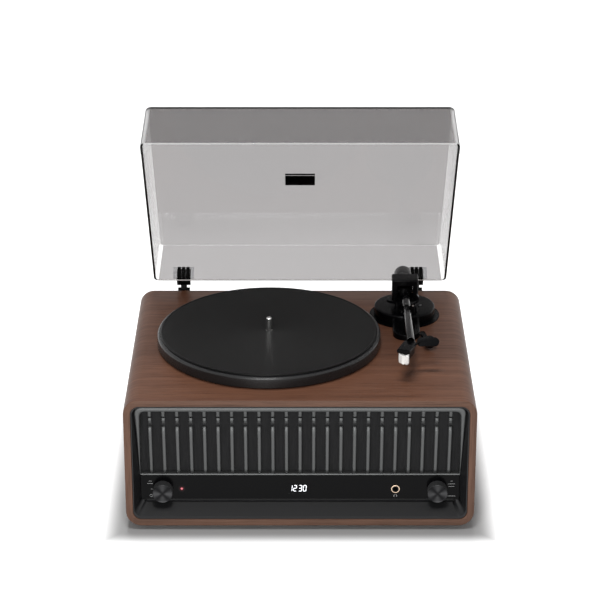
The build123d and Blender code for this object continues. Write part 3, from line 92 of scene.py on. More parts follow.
print("case", CASE_WIDTH, "by", CASE_HEIGHT, "mm, floor at", round(FLOOR_Z, 1), "mm")

# %% [markdown]
# The camera comes first, so that every test render can be laid beside the photograph.
# The real one looked down about 23 degrees from almost three metres, with a long lens.

# %% Camera
LENS, SENSOR_WIDTH = 137.3, 36.0
CAMERA_TILT = radians(66.81)
camera_data = bpy.data.cameras.new("studio_camera")
camera_data.sensor_width = SENSOR_WIDTH
camera_data.lens = LENS
camera_data.clip_end = 50.0
camera = put_in_scene("studio_camera", camera_data)
camera.location = at(-0.1, -2588.0, 1424.0)
camera.rotation_euler = (CAMERA_TILT, 0.0, 0.0)
bpy.context.scene.camera = camera
bpy.context.scene.view_settings.view_transform = "Standard"
print("camera looks down", round(90 - degrees(CAMERA_TILT), 1), "degrees")

# %% [markdown]
# A few helpers carry all the materials: one turns a hex colour to linear light, one adds a node with its
# settings and links, and one starts a material with its main shader. The last three say things that are
# true of real surfaces: a pattern has a size in millimetres, and relief and gloss follow one pattern.


# %% Material helpers
def hex_colour(code):
    """sRGB hex to linear RGBA: values up to 0.04045 are divided by 12.92, others follow the 2.4 curve."""
    channels = np.array([int(code[i:i + 2], 16) for i in (1, 3, 5)]) / 255.0
    linear = np.where(channels <= 0.04045, channels / 12.92, ((channels + 0.055) / 1.055) ** 2.4)
    return (*linear.tolist(), 1.0)


def live(sockets, name=None):
    """The first socket that the node's settings leave in use, of this name or of any."""
    return next(socket for socket in sockets if socket.enabled and name in (None, socket.name))


def add_node(tree, kind, inputs=(), stops=(), to=None, **settings):
    """One shader node. Its inputs are listed in order or by name, each a value, a socket, or a node whose
    first live output is meant. Stops are a ramp's (position, hex colour), and it feeds the socket `to`."""
    node = tree.nodes.new(kind)
    for name, value in settings.items():
        setattr(node, name, value)
    for key, value in inputs.items() if isinstance(inputs, dict) else enumerate(inputs):
        socket = live(node.inputs, key) if isinstance(key, str) else node.inputs[key]
        if isinstance(value, bpy.types.Node):
            value = live(value.outputs)
        if isinstance(value, bpy.types.NodeSocket):
            tree.links.new(value, socket)
        else:
            socket.default_value = value
    if stops:
        elements = node.color_ramp.elements
        while len(elements) < len(stops):
            elements.new(0.5)
        for element, (position, code) in zip(elements, stops):
            element.position = position
            element.color = hex_colour(code)
    if to:
        tree.links.new(live(node.outputs), to)
    return node


def start_material(name, colour, roughness, **sockets):
    """A material with one Principled shader: returns the material, its tree and the shader."""
    material = bpy.data.materials.new(name)
    material.use_nodes = True
    tree = material.node_tree
    shader = tree.nodes["Principled BSDF"]
    shader.inputs["Base Color"].default_value = hex_colour(colour)
    shader.inputs["Roughness"].default_value = roughness
    for socket, value in sockets.items():
        shader.inputs[socket.replace("_", " ")].default_value = value
    return material, tree, shader


def in_sizes(tree, size_mm):
    """The piece's own coordinates, with a real size in millimetres as the unit: one size, or one per axis."""
    where = add_node(tree, "ShaderNodeTexCoord").outputs["Object"]
    scale = (1000 / np.broadcast_to(size_mm, 3)).tolist()
    return add_node(tree, "ShaderNodeMapping", {"Vector": where, "Scale": scale})


def grains(tree, size_mm, detail, roughness):
    """A pattern of grains of a real size, from noise over the piece's own coordinates."""
    where = in_sizes(tree, size_mm)
    return add_node(
        tree, "ShaderNodeTexNoise", {"Vector": where, "Scale": 1.0, "Detail": detail, "Roughness": roughness}
    )


def roughen(tree, shader, pattern, depth_mm, strength, gloss=None):
    """Gives a 0 to 1 pattern a real depth in millimetres, and runs the roughness between two values."""
    add_node(
        tree, "ShaderNodeBump", {"Height": pattern, "Distance": depth_mm * MM, "Strength": strength},
        to=shader.inputs["Normal"],
    )
    if gloss:
        add_node(
            tree, "ShaderNodeMapRange", {"Value": pattern, "To Min": gloss[0], "To Max": gloss[1]},
            to=shader.inputs["Roughness"],
        )


print("walnut brown in linear light", np.round(hex_colour("#5c4135")[:3], 3).tolist())

# %% [markdown]
# The case is chipboard under a dark walnut veneer, stained, lacquered and rubbed to a low sheen.
# The sheet wraps round the case from side to side, so its grain runs across the deck and down the sides:
# streaks are long in X and Z, and narrow in Y. The cut front edge is lipped with the same wood, whose
# grain follows the edge, so the pattern is turned there. The faces towards the front and the back get
# paler, greyer tones, which are painted light.

# %% Walnut veneer
LIPPING_WIDTH = 9.0


def walnut_veneer():
    """Soft bands 14 mm wide and 260 mm long, and pores about 1.1 mm wide and 34 mm long."""
    material, tree, shader = start_material(
        "walnut_veneer_lacquered", "#5c4135", 0.45, Specular_IOR_Level=0.14
    )
    where = add_node(tree, "ShaderNodeTexCoord").outputs["Object"]
    normal = add_node(tree, "ShaderNodeNewGeometry").outputs["Normal"]
    facing = add_node(tree, "ShaderNodeSeparateXYZ", [normal]).outputs["Y"]
    front = add_node(tree, "ShaderNodeMath", [facing, 0.8], operation="GREATER_THAN")
    back = add_node(tree, "ShaderNodeMath", [facing, -0.8], operation="LESS_THAN")
    edge = add_node(tree, "ShaderNodeMath", [front, back], operation="ADD")
    centre = (CASE_X * MM, 0.0, (CASE_BOTTOM + CASE_HEIGHT / 2) * MM)
    middle = add_node(tree, "ShaderNodeVectorMath", [where, centre], operation="SUBTRACT")
    aside = add_node(tree, "ShaderNodeSeparateXYZ", [middle]).outputs["X"]
    across = add_node(tree, "ShaderNodeMath", [aside], operation="ABSOLUTE")
    lipping_from = (CASE_WIDTH / 2 - LIPPING_WIDTH) * MM
    upright = add_node(tree, "ShaderNodeMath", [across, lipping_from], operation="GREATER_THAN")

    def streaks(width_mm, length_mm):
        """Coordinates that are narrow across the grain and slow along it, turned on the cut edges."""
        narrow, slow = 1000 / width_mm, 1000 / length_mm
        wrap, level, stand = [
            add_node(tree, "ShaderNodeVectorMath", [where, scale], operation="MULTIPLY")
            for scale in ((slow, narrow, slow), (slow, slow, narrow), (narrow, slow, slow))
        ]
        lip = add_node(tree, "ShaderNodeMix", {"Factor": upright, "A": level, "B": stand}, data_type="VECTOR")
        return add_node(tree, "ShaderNodeMix", {"Factor": edge, "A": wrap, "B": lip}, data_type="VECTOR")

    figure, pores = [
        add_node(
            tree, "ShaderNodeTexNoise",
            {"Vector": streaks(*size), "Scale": 1.0, "Detail": detail, "Roughness": fine, "Distortion": bend},
        )
        for size, detail, fine, bend in (((14, 260), 4.0, 0.55, 0.4), ((1.1, 34), 3.0, 0.6, 0.0))
    ]
    # The second ramp's paler, greyer tones on the faces towards the front and the back are painted light
    sheet, edge_painted_light = [
        add_node(tree, "ShaderNodeValToRGB", [figure], stops=list(zip((0.25, 0.5, 0.78), tones)))
        for tones in (("#4f3325", "#5c3d2e", "#684736"), ("#5b453a", "#6a4f42", "#785b4c"))
    ]
    wood = add_node(tree, "ShaderNodeMix", {"Factor": edge, "A": sheet, "B": edge_painted_light}, data_type="RGBA")
    lines = add_node(
        tree, "ShaderNodeValToRGB", [pores], stops=[(0.32, "#9a9a9a"), (0.46, "#ececec"), (0.6, "#ffffff")]
    )
    add_node(
        tree, "ShaderNodeMix", {"Factor": 0.6, "A": wood, "B": lines}, to=shader.inputs["Base Color"],
        data_type="RGBA", blend_type="MULTIPLY",
    )
    roughen(tree, shader, pores, 0.05, 0.6, gloss=(0.5, 0.36))
    return material


# Lacquer rubbed down: the brown stays deep, and only a broad sheen lies on it
VENEER = walnut_veneer()
print("veneer nodes", len(VENEER.node_tree.nodes))

# %% [markdown]
# Most of the rest is moulded plastic. Polished ABS is smooth and dark, with a faint waviness from the
# tool. Satin ABS has a fine spark-eroded grain of about a quarter millimetre, drawn a little coarser here
# so that it shows. Rubber is duller still, and its grain is broader.


# %% Moulded plastics and rubber
def moulded(name, colour, roughness, grain_mm, depth_mm, spread=0.06, **sockets):
    """A moulded surface: relief and gloss both follow one noise with grains of a real size."""
    material, tree, shader = start_material(name, colour, roughness, **sockets)
    skin = grains(tree, grain_mm, 2.0, 0.55)
    roughen(tree, shader, skin, depth_mm, 0.5, gloss=(roughness - spread, roughness + spread))
    return material


# Off a polished tool: clear reflections that waver a little
PIANO_BLACK = moulded("abs_polished_black", "#0b0b0c", 0.1, 9.0, 0.004, 0.03, Specular_IOR_Level=0.12)
STRIP_BLACK = moulded("acrylic_strip_black", "#050506", 0.2, 6.0, 0.003, 0.03, Specular_IOR_Level=0.08)
ARM_LACQUER = moulded("lacquer_arm_black", "#050506", 0.14, 9.0, 0.002, 0.03, Specular_IOR_Level=0.4)
# Off a spark-eroded tool: highlights spread into a soft grey
SATIN_BLACK = moulded("abs_satin_black", "#060606", 0.34, 0.5, 0.015, Specular_IOR_Level=0.06)
FASCIA_BLACK = moulded("abs_fascia_satin", "#1c1c1d", 0.34, 0.5, 0.01, Specular_IOR_Level=0.3)
ARM_BLACK = moulded("abs_arm_black", "#040405", 0.22, 0.5, 0.006, Specular_IOR_Level=0.06)
PLATTER_BLACK = moulded("abs_platter_black", "#141415", 0.28, 0.6, 0.006, Specular_IOR_Level=0.4)
WHITE_ABS = moulded("abs_white_satin", "#f0efec", 0.38, 0.5, 0.01)
# Rubber drinks the light: an even, dull black
MAT_RUBBER = moulded("rubber_mat_pressed", "#0b0b0b", 0.38, 0.5, 0.008, 0.04, Specular_IOR_Level=0.12)
SOFT_RUBBER = moulded("rubber_moulded_matt", "#101010", 0.7, 0.8, 0.03, Specular_IOR_Level=0.25)
# Nylon looks waxy, and its glass fibres dull it
NATURAL_NYLON = moulded("nylon_moulded", "#cfcabd", 0.45, 0.6, 0.01)
SOCKET_BLACK = moulded("nylon_glass_filled_black", "#0c0c0d", 0.45, 0.4, 0.02, Specular_IOR_Level=0.25)
# Satin anodising: patches of the side catch the light by turns
KNOB_SIDE = moulded("aluminium_black_anodised_side", "#2e2e2f", 0.6, 1.2, 0.01, 0.3)
# Painted shade: a thick, polished fold where the eye looks along the wall and sees no light is drawn as dark
# grey plastic
PAINTED_SHADE_FOLD = moulded("acrylic_fold_painted_shade", "#080808", 0.2, 2.0, 0.004, 0.05)
print("satin fascia in linear light", round(hex_colour("#1c1c1d")[0], 4))

# %% [markdown]
# The metals keep the default IOR. Their gloss wanders over grains of a real size, which a ground, plated
# or oxidised skin has from its making.


# %% Metals
def worked_metal(name, colour, roughness, grain_mm, depth_mm):
    """A metal whose roughness strays a fifth to each side over grains of a real size."""
    material, tree, shader = start_material(name, colour, roughness, Metallic=1.0)
    skin = grains(tree, grain_mm, 3.0, 0.6)
    roughen(tree, shader, skin, depth_mm, 0.4, gloss=(roughness * 0.8, roughness * 1.2))
    return material


# Satin paint over sheet steel: broad grey highlights along the ribs
GRILLE_METAL = worked_metal("steel_grille_dark_satin", "#595a5a", 0.5, 0.5, 0.004)
# Polished steel mirrors the room, ground steel blurs it, and oxide turns it nearly black
BRIGHT_STEEL = worked_metal("steel_polished", "#d2d2d0", 0.12, 1.0, 0.002)
GROUND_STEEL = worked_metal("steel_ground", "#a5a5a3", 0.3, 0.3, 0.004)
BLACK_STEEL = worked_metal("steel_black_oxide", "#2c2c2e", 0.38, 0.3, 0.006)
# Turned brass is warm, and the gilt ring of the socket is paler
BRASS = worked_metal("brass_turned", "#cda96b", 0.24, 0.3, 0.003)
PALE_BRASS = worked_metal("brass_pale_gilt", "#e2c8ae", 0.3, 0.3, 0.003)
# Zinc has a cool, cloudy shine, and drawn aluminium a soft one
ZINC = worked_metal("steel_zinc_plated", "#8f9092", 0.33, 2.0, 0.004)
EXTRUSION = worked_metal("aluminium_extruded", "#8b8c8e", 0.36, 0.4, 0.006)
print("grille steel in linear light", round(hex_colour("#595a5a")[0], 3))

# %% [markdown]
# The knobs' faces are spun: the tool leaves rings, and each ring spreads a highlight into a fan. The
# rings read the piece's own UV map, whose second number runs along the turned profile in millimetres.
# The fans of a real face turn with the lamps. Here four of them are also painted into the colour as
# painted highlights, so that they show under any light.


# %% Spun anodised aluminium
def spun_anodised(name, dark, light, ring_mm, fans):
    """Painted highlights: the tone follows the cosine of `fans` times the angle, and fades to dark within 5
    mm of the centre.
    """
    material, tree, shader = start_material(name, light, 0.34, Metallic=1.0, Anisotropic=0.75)
    chart = add_node(tree, "ShaderNodeUVMap", uv_map="turned")
    along = add_node(tree, "ShaderNodeMapping", {"Vector": chart, "Scale": (0.0, 1 / ring_mm, 0.0)})
    rings = add_node(
        tree, "ShaderNodeTexNoise", {"Vector": along, "Scale": 1.0, "Detail": 2.0, "Roughness": 0.7}
    )
    roughen(tree, shader, rings, 0.004, 0.6)
    add_node(tree, "ShaderNodeTangent", to=shader.inputs["Tangent"], direction_type="UV_MAP", uv_map="turned")
    parts = add_node(tree, "ShaderNodeSeparateXYZ", [chart])
    # Painted highlights: four fans of lighter tone round the face
    angle = add_node(tree, "ShaderNodeMath", [parts.outputs["X"], 2 * pi * fans], operation="MULTIPLY")
    wave = add_node(tree, "ShaderNodeMath", [angle], operation="COSINE")
    fan = add_node(tree, "ShaderNodeMapRange", {"Value": wave, "From Min": -1.0})
    away = add_node(
        tree, "ShaderNodeMapRange", {"Value": parts.outputs["Y"], "From Min": 1.0, "From Max": 5.0}
    )
    painted_fan_tone = add_node(tree, "ShaderNodeMath", [fan, away], operation="MULTIPLY")
    add_node(
        tree, "ShaderNodeValToRGB", [painted_fan_tone], stops=[(0.0, dark), (1.0, light)], to=shader.inputs["Base Color"]
    )
    return material


# Dark metal with soft fans of painted highlight that meet at the middle
KNOB_METAL = spun_anodised("aluminium_black_anodised_spun", "#1d1d1e", "#3a3a3b", 0.12, 4)
print("knob nodes", len(KNOB_METAL.node_tree.nodes))

# %% [markdown]
# Inside, where it only shows through the sockets and when taken apart, there is bare chipboard,
# glass-fibre circuit board under green lacquer, and pulp cones. The back is painted hardboard.


# %% Boards and paper
def speckled(name, dark, light, chip_mm, roughness):
    """Chips or fibres: a noise of a real size moves the colour between two tones."""
    material, tree, shader = start_material(name, dark, roughness)
    chips = grains(tree, chip_mm, 3.0, 0.65)
    add_node(
        tree, "ShaderNodeValToRGB", [chips], stops=[(0.3, dark), (0.7, light)], to=shader.inputs["Base Color"]
    )
    roughen(tree, shader, chips, 0.06, 0.6)
    return material


# Chips of wood in glue, a flat fibre sheet, cloudy green lacquer, and felted pulp
CHIPBOARD = speckled("chipboard_raw", "#8a6a48", "#b99a72", 1.8, 0.8)
HARDBOARD = speckled("hardboard_painted_black", "#151515", "#1d1d1d", 1.2, 0.6)
CIRCUIT = speckled("glass_fibre_board_green", "#12402a", "#1b5637", 6.0, 0.35)
PAPER = speckled("paper_pulp_black", "#1c1b1a", "#2c2b29", 0.7, 0.85)
print("boards", [material.name for material in (CHIPBOARD, HARDBOARD, CIRCUIT, PAPER)])

# %% [markdown]
# The cover is cast acrylic with a light grey smoke, 3 mm thick. Light loses about a third at each face
# crossing, which gives the photographed greys for one wall and for two. Shadow rays pass through tinted,
# so that the deck under the cover is lit as it is under a real one.


# %% Smoked acrylic
def smoked_acrylic(name, tint, shade, roughness):
    """Dielectric gloss over a tinted body, which shadow rays and diffuse rays cross straight."""
    material, tree, shader = start_material(name, tint, roughness, IOR=1.49, Transmission_Weight=1.0)
    path = add_node(tree, "ShaderNodeLightPath").outputs
    straight = add_node(tree, "ShaderNodeBsdfTransparent", [hex_colour(shade)])
    soft = add_node(
        tree, "ShaderNodeMath", [path["Is Shadow Ray"], path["Is Diffuse Ray"]], operation="MAXIMUM"
    )
    surface = tree.nodes["Material Output"].inputs["Surface"]
    add_node(tree, "ShaderNodeMixShader", [soft, shader, straight], to=surface)
    return material


# A grey veil on the panels. The front wall's lighter tint is painted light, and the near-clear sides are a
# painted reflection of the white floor
COVER_ACRYLIC = smoked_acrylic("acrylic_cast_smoked", "#a2a0a0", "#cac8c8", 0.02)
FRONT_ACRYLIC = smoked_acrylic("acrylic_front_wall_painted_light", "#b1afaf", "#d2d0d0", 0.02)
SIDE_ACRYLIC = smoked_acrylic("acrylic_side_wall_painted_reflection", "#e6e5e5", "#e4e3e3", 0.02)
# A polished fold's pale line is a painted highlight, and a clear pad only bends the light
FOLD_ACRYLIC = smoked_acrylic("acrylic_fold_painted_highlight", "#f4f4f4", "#dddddd", 0.35)
PAD_ACRYLIC = smoked_acrylic("acrylic_clear_pad", "#dfe0e2", "#dfe0e2", 0.03)
print("one wall passes", round(hex_colour("#a2a0a0")[0], 2), "of the light")

# %% [markdown]
# The cover's rim is sawn and only roughly polished. Where it runs across, the light of the wall below it
# comes out of the cut, and that pale light is painted into its colour. Along the side walls the eye meets
# the cut end on, and there it is painted nearly black, as shade. So the painted tone changes where the rim
# turns into the side walls.

# %% Sawn rim
COVER_WALL, RIM_TURN = 3.0, 0.5


def sawn_edge(half_width):
    """Painted shade beyond this distance from the middle, painted light within it, and blended over one
    millimetre.
    """
    material, tree, shader = start_material("acrylic_cut_edge", "#060606", 0.2, Specular_IOR_Level=0.2)
    where = add_node(tree, "ShaderNodeTexCoord").outputs["Object"]
    right = add_node(tree, "ShaderNodeSeparateXYZ", [where]).outputs["X"]
    aside = add_node(tree, "ShaderNodeMath", [right, CASE_X * MM], operation="SUBTRACT")
    reach = add_node(tree, "ShaderNodeMath", [aside], operation="ABSOLUTE")
    share = add_node(
        tree, "ShaderNodeMapRange",
        {"Value": reach, "From Min": half_width * MM, "From Max": (half_width - 1.0) * MM},
    )
    # Painted light and shade: pale across the rim, nearly black along the sides
    add_node(
        tree, "ShaderNodeValToRGB", [share], stops=[(0.0, "#060606"), (1.0, "#f0f0f0")],
        to=shader.inputs["Base Color"],
    )
    roughen(tree, shader, grains(tree, 2.0, 2.0, 0.5), 0.004, 0.3)
    return material


cover_low, cover_high = box_mm("dust_cover")
rim_half = (cover_high[0] - cover_low[0]) / 2 - COVER_WALL - RIM_TURN
CUT_ACRYLIC = sawn_edge(rim_half)
print("rim is pale for", round(rim_half, 1), "mm to each side")

# %% [markdown]
# Three things on the strip are lit or printed. A lit plastic gets a little light of its own on the
# shader's emission sockets. Light also leaks from the lamp into the acrylic round it, and that red haze
# is painted glow on a flat ring round the lens.


# %% Lit plastics and print
def glowing(name, colour, glow, strength):
    """A lit plastic: its own light is added on its shader's emission sockets."""
    material, _, shader = start_material(name, colour, 0.3)
    shader.inputs["Emission Color"].default_value = hex_colour(glow)
    shader.inputs["Emission Strength"].default_value = strength
    return material


def red_halo(centre, reach_mm):
    """Painted glow for light that leaks sideways in the strip: it falls off with the square of what is left
    of the reach.
    """
    material, tree, shader = start_material("lamp_glow_in_strip", "#070708", 0.22, Specular_IOR_Level=0.12)
    shader.inputs["Emission Color"].default_value = hex_colour("#ff3048")
    where = add_node(tree, "ShaderNodeTexCoord").outputs["Object"]
    away = add_node(tree, "ShaderNodeVectorMath", [where, tuple(centre)], operation="DISTANCE")
    left = add_node(
        tree, "ShaderNodeMapRange",
        {"Value": away, "From Min": 0.0, "From Max": reach_mm * MM, "To Min": 1.0, "To Max": 0.0},
    )
    level = add_node(tree, "ShaderNodeMath", [left, 2.0], operation="POWER")
    add_node(
        tree, "ShaderNodeMath", [level, 0.13], to=shader.inputs["Emission Strength"], operation="MULTIPLY"
    )
    return material


# White bars that stay below pure white, a pinkish lens, and flat grey ink
DIGIT_WHITE = glowing("clock_segment_lit", "#f4f6f8", "#f4f8ff", 0.9)
LAMP_RED = glowing("lamp_lens_lit", "#b8606a", "#ff8c98", 0.4)
MARK_GREY = start_material("screen_printed_grey", "#9c9c9c", 0.3)[0]
print("lit", DIGIT_WHITE.name, LAMP_RED.name, "printed", MARK_GREY.name)

# %% [markdown]
# Every CAD node gets its finish through its material slot first, so nothing is left plain.

# %% Finishes for the CAD nodes
FINISH_OF_SLOT = {
    "walnut_veneer": VENEER,
    "raw_board": CHIPBOARD,
    "back_board": HARDBOARD,
    "screw_steel": BLACK_STEEL,
    "foot_rubber": SOFT_RUBBER,
    "black_gloss": PIANO_BLACK,
    "grille_metal": GRILLE_METAL,
    "speaker_cloth": PAPER,
    "basket_steel": BLACK_STEEL,
    "paper_cone": PAPER,
    "magnet_steel": ZINC,
    "smoked_window": STRIP_BLACK,
    "display_black": SOCKET_BLACK,
    "lamp_red": LAMP_RED,
    "socket_black": SOCKET_BLACK,
    "brass_ring": BRASS,
    "circuit_board": CIRCUIT,
    "spacer_nylon": NATURAL_NYLON,
    "heat_sink_aluminium": EXTRUSION,
    "bush_brass": BRASS,
    "motor_steel": ZINC,
    "belt_rubber": SOFT_RUBBER,
    "arm_black": ARM_BLACK,
    "hinge_black": SATIN_BLACK,
    "axle_steel": GROUND_STEEL,
    "smoked_acrylic": COVER_ACRYLIC,
    "bumper_rubber": SOFT_RUBBER,
    "badge_black": PIANO_BLACK,
    "platter_black": PLATTER_BLACK,
    "mat_rubber": MAT_RUBBER,
    "spindle_steel": BRIGHT_STEEL,
    "pulley_brass": BRASS,
    "knob_aluminium": KNOB_METAL,
    "yoke_black": ARM_BLACK,
    "tube_black": ARM_BLACK,
    "weight_black": ARM_BLACK,
    "head_black": ARM_BLACK,
    "cartridge_black": ARM_BLACK,
    "stylus_white": WHITE_ABS,
}
for node_name, node in NODES.items():
    for material_slot in node.material_slots:
        material_slot.material = FINISH_OF_SLOT[SLOT_OF[node_name]]
print("slots with a finish", len(FINISH_OF_SLOT))

# %% [markdown]
# A CAD solid arrives as loose triangles with dead sharp edges. A real moulding or casting has a small
# radius on every edge, and it is this line of light that makes it look made. So a visible piece is
# copied, its triangles are merged into clean faces, and a bevel of real size is put on its edges.

# %% Copies with rounded edges
EDGE_ANGLE, EDGE_STEPS = 30.0, 2


def dress(name, mesh, finish, node_name, sharp_degrees=EDGE_ANGLE):
    """Makes a mesh a piece: smooth but for its sharp edges, with its finish, and on the body of its node."""
    mesh.polygons.foreach_set("use_smooth", np.ones(len(mesh.polygons), dtype=bool))
    mesh.set_sharp_from_angle(angle=radians(sharp_degrees))
    mesh.materials.append(finish)
    piece = put_in_scene(name, mesh)
    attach(piece, BODY_OF[node_name])
    return piece


def rounded_copy(node_name, piece_name, edge_mm, finish=None):
    """Merges a node's triangles, dissolves flat joins, and bevels edges sharper than 30 degrees."""
    bm = bmesh.new()
    bm.from_mesh(NODES[node_name].data)
    bmesh.ops.remove_doubles(bm, verts=bm.verts, dist=2e-6)
    bmesh.ops.dissolve_limit(bm, angle_limit=radians(0.6), verts=bm.verts, edges=bm.edges)
    mesh = bpy.data.meshes.new(piece_name)
    bm.to_mesh(mesh)
    bm.free()
    piece = dress(piece_name, mesh, finish or FINISH_OF_SLOT[SLOT_OF[node_name]], node_name)
    if edge_mm:
        bevel = piece.modifiers.new("edge_radius", "BEVEL")
        bevel.width = edge_mm * MM
        bevel.segments = EDGE_STEPS
        bevel.limit_method = "ANGLE"
        bevel.angle_limit = radians(EDGE_ANGLE)
        bevel.harden_normals = True
        bevel.use_clamp_overlap = True
    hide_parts(node_name)


# Each copy's node, its own name, the radius of its edges in mm, and a finish where its slot's isn't used
ROUNDED = [
    ("cabinet_shell", "case_veneered", 0.0),
    ("back_panel", "back_board_painted", 0.3),
    ("feet", "feet_moulded", 0.8),
    ("tonearm_base", "arm_foot_moulding", 0.0),
    ("arm_column", "arm_pillar", 0.4),
    ("arm_yoke", "arm_yoke_moulding", 0.5),
    ("pivot_block", "arm_pivot_block", 0.4),
    ("headshell", "headshell_moulding", 0.5),
    ("finger_lift", "finger_lift_moulding", 0.5),
    ("cartridge", "cartridge_body", 0.3),
    ("arm_rest", "arm_rest_moulding", 0.3),
    ("arm_clip", "arm_clip_moulding", 0.25),
    ("cue_lever", "cue_lever_moulding", 0.4),
    ("cue_lift", "cue_lift_bar", 0.4),
    ("hinge_arms", "hinge_arm_mouldings", 0.3),
    ("hinge_bases", "hinge_base_mouldings", 0.3),
    ("indicator_lamp", "lamp_lens", 0.1),
    ("mains_inlet", "mains_inlet_moulding", 0.3),
    ("line_sockets", "line_socket_block", 0.3),
    ("dust_cover", "dust_cover_tray", 0.4),
    ("platter", "platter_moulding", 0.4),
    ("front_bezel", "fascia_moulding", 0.0, FASCIA_BLACK),
    ("control_panel", "control_strip", 0.15, STRIP_BLACK),
    ("headphone_nut", "headphone_ring", 0.2, PALE_BRASS),
    ("arm_axle", "arm_axle_blackened", 0.2, ARM_BLACK),
]
for row in ROUNDED:
    rounded_copy(*row)
print("rounded copies", len(ROUNDED))

# %% [markdown]
# The cover shows six looks of one acrylic. Its flat panels are smoke grey, and its front wall is a little
# lighter, which is painted light. The side walls are seen along their length and mirror the white floor, so
# they are clearer still: a painted reflection. The moulded folds are polished curves whose thin pale lines
# are painted highlights, all but the one at the open cover's top, which stands against the light and is
# painted dark as shade. The sawn rim is the sixth, with painted light and shade of its own.

# %% Looks of the cover
OPEN_TURN = radians(54.1)
SIDE_LOOK, FOLD_LOOK, CUT_LOOK, FRONT_LOOK, SHADED_FOLD_LOOK = range(1, 6)
LARGEST_RIM_FACE = 0.02
FRONT_WALL_ABOVE, TOP_FOLD_ABOVE = 0.25, 0.29


def of_faces(mesh, quality):
    """A vector per face, such as its normal or its centre, as one array."""
    values = np.zeros(len(mesh.polygons) * 3)
    mesh.polygons.foreach_get(quality, values)
    return values.reshape(-1, 3)


cover = bpy.data.objects["dust_cover_tray"].data
for look in (SIDE_ACRYLIC, FOLD_ACRYLIC, CUT_ACRYLIC, FRONT_ACRYLIC, PAINTED_SHADE_FOLD):
    cover.materials.append(look)
ways = of_faces(cover, "normal")
height = of_faces(cover, "center")[:, 2]
areas = np.zeros(len(cover.polygons))
cover.polygons.foreach_get("area", areas)
# The ways that the rim and the front wall of the open cover face
rim_way = np.array([0.0, -sin(OPEN_TURN), -cos(OPEN_TURN)])
front_way = np.array([0.0, -cos(OPEN_TURN), sin(OPEN_TURN)])
flatness = np.max(np.abs(ways @ np.array([rim_way, front_way, (1.0, 0.0, 0.0)]).T), axis=1)
look_index = np.zeros(len(cover.polygons), dtype=np.int32)
# The side walls get the tint that paints the reflection of the white floor
look_index[np.abs(ways[:, 0]) > 0.95] = SIDE_LOOK
# The folds get pale painted highlights
look_index[flatness < 0.97] = FOLD_LOOK
# The inside of the top panel faces the same way as the rim, but it is far larger
faces_rim_way = ways @ rim_way > 0.99
# The sawn rim gets its painted light and shade
look_index[faces_rim_way] = np.where(areas[faces_rim_way] < LARGEST_RIM_FACE, CUT_LOOK, 0)
# The front wall gets the lighter tint, painted light
look_index[(np.abs(ways @ front_way) > 0.97) & (height > FRONT_WALL_ABOVE)] = FRONT_LOOK
# The fold at the top gets painted shade instead
look_index[(look_index == FOLD_LOOK) & (height > TOP_FOLD_ABOVE)] = SHADED_FOLD_LOOK
cover.polygons.foreach_set("material_index", look_index)
print("cover faces per look", np.bincount(look_index, minlength=6))

# %% [markdown]
# New surfaces are grids of points worked out as arrays. A few helpers are enough for this object: they
# join a grid into quads, make the mesh, close its open ends, round the corners of an outline, and carry
# a profile round an axis.


# %% Surface helpers
def grid_quads(rows, columns, close_rows, close_columns):
    """Quads between neighbouring points of a grid that is numbered row by row."""
    row = np.arange(rows if close_rows else rows - 1)
    column = np.arange(columns if close_columns else columns - 1)
    row, column = np.meshgrid(row, column, indexing="ij")
    below, beside = (row + 1) % rows, (column + 1) % columns
    corners = [(row, column), (row, beside), (below, beside), (below, column)]
    return np.stack([r * columns + c for r, c in corners], axis=-1).reshape(-1, 4)


def new_piece(name, points, quads, finish, node_name, sharp_degrees=35.0, chart=None):
    """A piece from arrays: doubles are merged and normals turned outwards."""
    mesh = bpy.data.meshes.new(name)
    mesh.from_pydata(points.reshape(-1, 3).tolist(), [], quads.tolist())
    if chart is not None:
        layer = mesh.uv_layers.new(name="turned")
        layer.data.foreach_set("uv", chart.astype(np.float32).ravel())
    bm = bmesh.new()
    bm.from_mesh(mesh)
    bmesh.ops.remove_doubles(bm, verts=bm.verts, dist=1e-7)
    bmesh.ops.recalc_face_normals(bm, faces=bm.faces)
    bm.to_mesh(mesh)
    bm.free()
    return dress(name, mesh, finish, node_name, sharp_degrees)


def close_ends(mesh):
    """Fills the open ends of tubes with one face each, and turns all normals outwards."""
    bm = bmesh.new()
    bm.from_mesh(mesh)
    bmesh.ops.holes_fill(bm, edges=bm.edges, sides=0)
    bmesh.ops.recalc_face_normals(bm, faces=bm.faces)
    bm.to_mesh(mesh)
    bm.free()


def eased(corners, radii, steps=5, closed=False):
    """An outline whose corners give way to short parabolas, tangent to both sides at the radius' reach."""
    corners = np.asarray(corners, dtype=float)
    before, after = np.roll(corners, 1, axis=0), np.roll(corners, -1, axis=0)
    radii = np.broadcast_to(np.asarray(radii, dtype=float), len(corners)).copy()
    if not closed:
        radii[[0, -1]] = 0.0
        before[0], after[-1] = corners[0] - 1.0, corners[-1] + 1.0
    to_before = (before - corners) / np.linalg.norm(before - corners, axis=1)[:, None]
    to_after = (after - corners) / np.linalg.norm(after - corners, axis=1)[:, None]
    start = corners + to_before * radii[:, None]
    end = corners + to_after * radii[:, None]
    t = np.linspace(0.0, 1.0, steps)[None, :, None]
    curve = (1 - t) ** 2 * start[:, None] + 2 * t * (1 - t) * corners[:, None] + t ** 2 * end[:, None]
    points = curve.reshape(-1, corners.shape[1])
    keep = np.ones(len(points), dtype=bool)
    keep[1:] = np.linalg.norm(np.diff(points, axis=0), axis=1) > 1e-9
    return points[keep]


